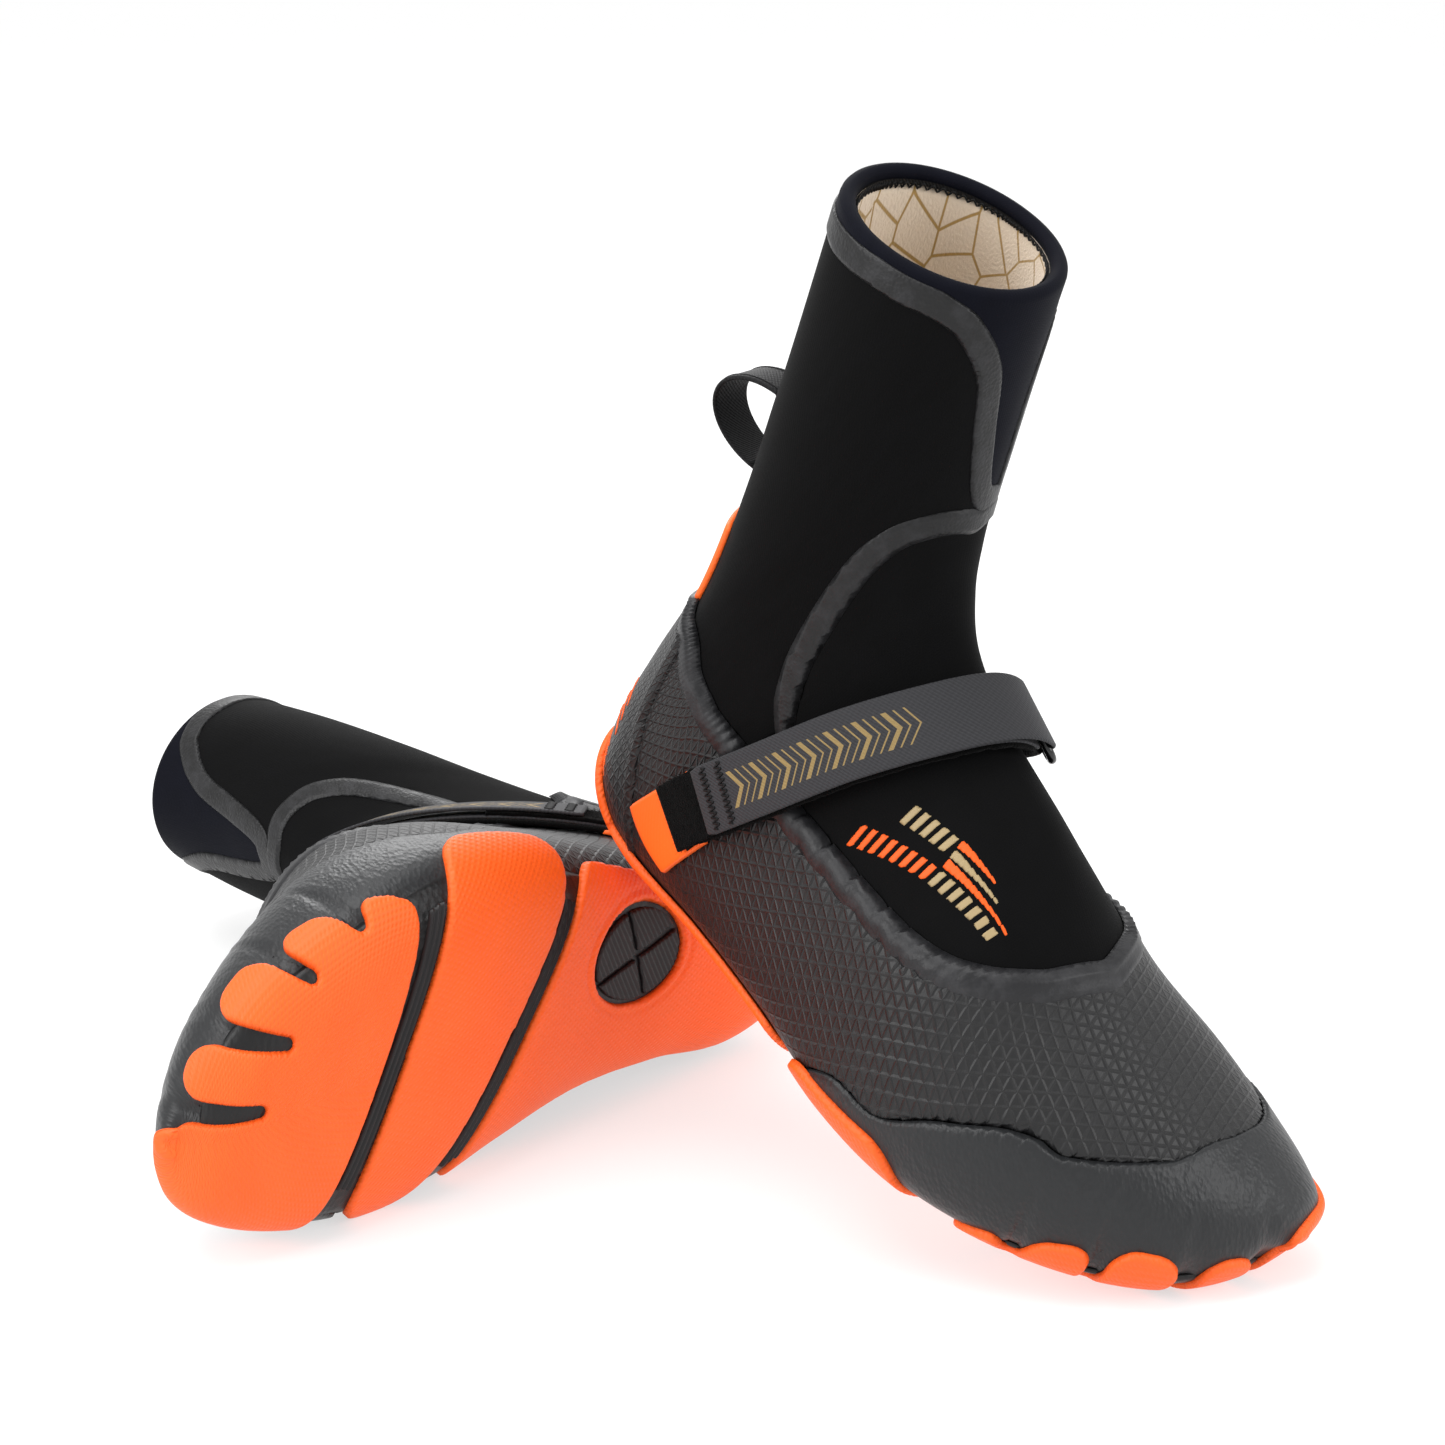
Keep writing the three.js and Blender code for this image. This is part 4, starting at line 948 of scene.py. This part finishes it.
# ---- Heel tab, strap tab and pull loop ---------------------------------------------------------
# Smooth orange rubber tabs glued on the neoprene: one under the strap's outer end and one up the
# Achilles with the pull loop, a doubled black webbing, sewn into its top.
smooth_orange = tread_rubber("smooth_orange_rubber", "#F86116", "#FC6B20", 0.12)
anchor = sheet_piece(stations_apart(8.2, 9.9, 0.8), even_angles(86, 120, 0.9),
                     lambda t, a, p: [rounded_and((t - 8.55) * 26, (9.49 - t) * 26, 3.0),
                                      (114.0 - a) * 0.9, (a - 89.0) * 0.9], 3.0, 4.7, 1.2)
both_boots("strap_anchor", anchor, [smooth_orange], "orange_rubber", ["strap_anchor"])
heel_tab = sheet_piece(stations_apart(11.8, 14.3, 1.0), even_angles(132, 228, 1.1),
                       lambda t, a, p: [rounded_and(distance(t - topline(a) - 0.12, p),
                                                    distance(13.95 - 0.25 * ((a - 180) / 40) ** 2 - t, p), 6.0),
                                        (41 - np.abs(a - 180)) * 0.6], 0.2, 2.1, 1.5)
both_boots("heel_pull_tab", heel_tab, [smooth_orange], "orange_rubber", ["pull_tab"])

loop_base = sheet_piece(stations_apart(13.6, 15.0, 0.9), even_angles(165, 195, 0.8),
                        lambda t, a, p: [p[..., 2] - 134.0, 186.0 - p[..., 2], 8.4 - np.abs(p[..., 1])], 0.2, 1.3, 0.7)
both_boots("loop_base", loop_base, [black_webbing], "webbing", [])

turn = np.linspace(np.pi / 2, 3 * np.pi / 2, 33)
leg_z = np.linspace(152.8, 180.5, 15)
loop_path = np.concatenate([np.stack([np.full(15, 22.7), leg_z * 0, leg_z], -1),
                            np.stack([21.9 + 23.2 * np.cos(turn), turn * 0, 167 + 14.2 * np.sin(turn)], -1)])
loop_up = unit(np.cross(np.gradient(loop_path, axis=0), np.array([0, 1.0, 0])))
loop = ribbon(loop_path, -loop_up, 15.6, 1.6)
edge_seams = [tube(loop_path - loop_up * 0.9 + np.array([0, reach, 0]), loop_up, 0.22, 5)
              for reach in (-6.0, 6.0)]
loop_shape, loop_part = joined(loop, *edge_seams)
both_boots("pull_loop", loop_shape, [black_webbing, thread], "webbing", ["pull_loop"], "pull",
           face_material=np.minimum(loop_part, 1))

# ---- Lining and insole -------------------------------------------------------------------------
# Beige fleece laminated inside the neoprene, with a fine gold-brown net printed on it; a black
# overlocked binding hides its edge under the rim. A loose foam insole with a cloth face lies below.


def lining_material():
    """Short beige fleece with printed lines between cells about 17 mm wide."""
    material, shader = new_material("beige_printed_fleece", "#C4AF98", 0.9, Sheen_Weight=0.4, Sheen_Roughness=0.5,
                                    Specular_IOR_Level=0.2)
    tree = material.node_tree
    lengths = surface_lengths(tree)
    edge = add_node(tree, "ShaderNodeTexVoronoi", {"feature": "DISTANCE_TO_EDGE", "voronoi_dimensions": "2D"},
                    Vector=lengths, Scale=6.4).outputs[0]
    line = add_node(tree, "ShaderNodeMapRange", Value=edge, From_Min=0.020, From_Max=0.040).outputs[0]
    tree.links.new(mix_colours(tree, line, "#A5864F", "#DDCDB9"), shader.inputs["Base Color"])
    nap = add_node(tree, "ShaderNodeTexNoise", Vector=lengths, Scale=90.0, Detail=4.0).outputs[0]
    set_bump(tree, shader, nap, 0.6, 0.8)
    return material


fleece = lining_material()
lining_rows, lining_columns = stations_apart(-TIP, 15.99, 3.6), even_angles(*RING, 3.4)
lining = sheet_piece(lining_rows, lining_columns, lambda t, a, p: [15.945 - t], -5.35, -4.9, 0.8)
mean_down = flat_map(lining_rows, lining_columns)[:, 1].reshape(len(lining_rows), -1).mean(1)
level, turned = np.meshgrid(mean_down, lining_columns * 0.72, indexing="ij")
lining = (lining[0], lining[1], np.tile(np.stack([turned.ravel(), level.ravel()], -1), (2, 1)))
both_boots("fleece_lining", lining, [fleece], "fleece", ["foot_lining", "shaft_lining"])
binding = sheet_piece(stations_apart(15.85, 16.0, 0.5), even_angles(*RING, 1.4),
                      lambda t, a, p: [t - 15.925, 15.99 - t], -5.95, -5.2, 0.5)
cuff_angle = even_angles(*RING, 0.42)[:-1]
swing = 2 / np.pi * np.arcsin(np.sin(np.arange(len(cuff_angle)) * 2 * np.pi / 7.0))
cuff_point, cuff_normal = form(15.925 + 0.03 * swing, cuff_angle)
overlock = tube(cuff_point - cuff_normal * 6.3, cuff_normal, 0.36, 5, closed=True)
binding_shape, binding_part = joined(binding, overlock)
both_boots("cuff_binding", binding_shape, [black_webbing, thread], "binding", ["cuff_binding"],
           face_material=np.minimum(binding_part, 1))

insole_x = np.array([38, 42, 60, 95, 130, 165, 195, 220, 238, 247, 250.0])
insole_inner = np.array([0, 9, 19, 21.5, 24, 28, 30, 30, 24, 14, 6.0])
insole_outer = np.array([0, -11, -19, -24, -28.5, -33, -34, -27, -14, -4, 2.0])
fine_x = 144 - 106 * np.cos(np.linspace(0, np.pi, 60))
inner_y, outer_y = np.interp(fine_x, insole_x, insole_inner), np.interp(fine_x, insole_x, insole_outer)
outline = np.concatenate([np.stack([fine_x, inner_y], -1), np.stack([fine_x, outer_y], -1)[::-1]])
spine = np.stack([np.clip(outline[:, 0], 56, 232), np.interp(outline[:, 0], fine_x, (inner_y + outer_y) / 2)], -1)
shrink = [0, 0.5, 0.9, 0.97, 1.0, 1.0, 0.97, 0.9, 0.5, 0]
levels = [18.0, 17.9, 17.8, 17.6, 17.1, 15.9, 15.3, 15.1, 15.1, 15.1]
rings = [np.concatenate([spine + (outline - spine) * k, np.full((120, 1), z)], 1) for k, z in zip(shrink, levels)]
i, k = np.meshgrid(np.arange(9), np.arange(120), indexing="ij")
insole_faces = np.stack([i * 120 + k, (i + 1) * 120 + k, (i + 1) * 120 + (k + 1) % 120, i * 120 + (k + 1) % 120], -1)
insole_points = np.concatenate(rings)
insole_cloth, _ = new_material("dark_grey_insole_cloth", "#26262A", 0.9, Specular_IOR_Level=0.15)
both_boots("insole", (insole_points, insole_faces.reshape(-1, 4)[:, ::-1], insole_points[:, :2]), [insole_cloth],
           "insole", ["insole"])

# ---- Grip window and groove ribs ---------------------------------------------------------------
# Hard black rubber under the heel pad's oval window, moulded with parallel ribs and split in four,
# and the fine ribs that stiffen the bottom of the two flex grooves.
grip_rubber, _ = new_material("hard_ribbed_rubber", "#1A1718", 0.42, Specular_IOR_Level=0.34)


def rib_relief(t, a, p):
    """Ribs 1.9 mm apart and 0.7 mm high that run across the foot at an angle."""
    across = (p[..., 0] * 0.82 + p[..., 1] * 0.57) / 1.9
    return 0.7 * (2 / np.pi * np.arcsin(np.sin(2 * np.pi * across)) * 0.5 - 0.5)


def grip_fields(t, a, p):
    """The oval less 1.2 mm all round, cut by two slots 1.3 mm wide."""
    x, y, half_x, half_y = WINDOW
    ratio = np.hypot((p[..., 0] - x) / (half_x - 1.2), (p[..., 1] - y) / (half_y - 1.2))
    u, v = (p[..., 0] - x) * 0.94 + (p[..., 1] - y) * 0.34, (p[..., 1] - y) * 0.94 - (p[..., 0] - x) * 0.34
    return [np.where(p[..., 2] < 30, (1 - ratio) * 15, -50), np.abs(u) - 0.65, np.abs(v) - 0.65]


grip = sheet_piece(stations_apart(5.8, 7.9, 0.55), even_angles(142, 215, 0.5), grip_fields, 2.7, 4.9, 0.7,
                   rib_relief)
both_boots("heel_grip", grip, [grip_rubber], "outsole", ["heel_grip"])


def groove_relief(t, a, p):
    """Three ribs, 2 mm apart, along the bottom of each groove."""
    nearest = np.where(np.abs(past(p, GROOVES[0])) < 12, past(p, GROOVES[0]), past(p, GROOVES[1]))
    return 0.55 * np.cos(2 * np.pi * nearest / 2.1)


def groove_fields(t, a, p):
    nearest = np.minimum(np.abs(past(p, GROOVES[0])), np.abs(past(p, GROOVES[1])))
    return [3.3 - nearest, sole_edge(p[..., 0]) - 3.0 - p[..., 2]]


ribs = sheet_piece(stations_apart(3.2, 8.2, 0.5), even_angles(98, 262, 0.62), groove_fields, 2.6, 4.1, 0.8,
                   groove_relief)
both_boots("groove_ribs", ribs, [grip_rubber], "outsole", [])

# ---- Printed marks -----------------------------------------------------------------------------
# Flexible ink 0.15 mm thick: rows of slanted bars and three tapering stripes on the outer side of the
# vamp in gold and orange, and orange chevrons over short bars on the outer side of the heel.
gold_ink, _ = new_material("flexible_gold_ink", "#A08C66", 0.45, Specular_IOR_Level=0.3)
orange_ink, _ = new_material("flexible_orange_ink", "#E85A18", 0.5, Specular_IOR_Level=0.25)


def bars(s, q, first, last, pitch, width, height):
    """Slanted bars along s between two places, `height` mm tall about q = 0."""
    slanted = s - 0.45 * q
    wave = np.abs((slanted - first) % pitch - pitch / 2)
    return np.minimum.reduce([width / 2 - wave, height / 2 - np.abs(q), slanted - first, last - slanted])


def stripe(s, q, level, first, last):
    """A stripe that tapers from 1.5 mm to a point."""
    k = np.clip((s - first) / (last - first), 0, 1)
    return np.minimum.reduce([0.65 * (1 - k) + 0.38 - np.abs(q - level), s - first, last - s])


def vamp_gold(t, a, p):
    s, q = p[..., 0], p[..., 1] + 30.0 - (p[..., 0] - 134) * 0.03
    lower = q + 5.8
    return [np.maximum.reduce([bars(s, q, 134, 154, 4.0, 2.6, 3.8), bars(s, lower, 154, 182, 4.0, 2.5, 3.2),
                               stripe(s, q, -0.9, 155, 176)])]


def vamp_orange(t, a, p):
    s, q = p[..., 0], p[..., 1] + 30.0 - (p[..., 0] - 134) * 0.03
    lower = q + 5.8
    return [np.maximum.reduce([bars(s, lower, 122, 154, 4.0, 2.5, 3.2), stripe(s, q, 1.3, 155, 172),
                               stripe(s, q, -2.9, 155, 184)])]


mark_rows, mark_columns = stations_apart(5.9, 8.3, 0.36), even_angles(20, 66, 0.36)
both_boots("vamp_print_gold", sheet_piece(mark_rows, mark_columns, vamp_gold, -0.1, 0.16, 0.2), [gold_ink],
           "neoprene", [])
both_boots("vamp_print_orange", sheet_piece(mark_rows, mark_columns, vamp_orange, -0.1, 0.16, 0.2), [orange_ink],
           "neoprene", [])


def heel_marks(t, a, p):
    """Three chevrons that point up, and a row of short bars below them."""
    across = (a - 146.0) * 0.74
    z = p[..., 2]
    v = z + 0.7 * np.abs(across)
    chevrons = [np.minimum(1.9 - np.abs(v - level), 8.0 - np.abs(across)) for level in (64.0, 57.5, 51.0)]
    return [np.maximum.reduce(chevrons + [bars(z, across * 0.8, 25.6, 40, 3.6, 2.1, 6.0)])]


heel_print = sheet_piece(stations_apart(9.9, 12.2, 0.45), even_angles(130, 162, 0.45), heel_marks,
                         2.3, 2.95, 0.25)
both_boots("heel_print", heel_print, [orange_ink], "shell", [])
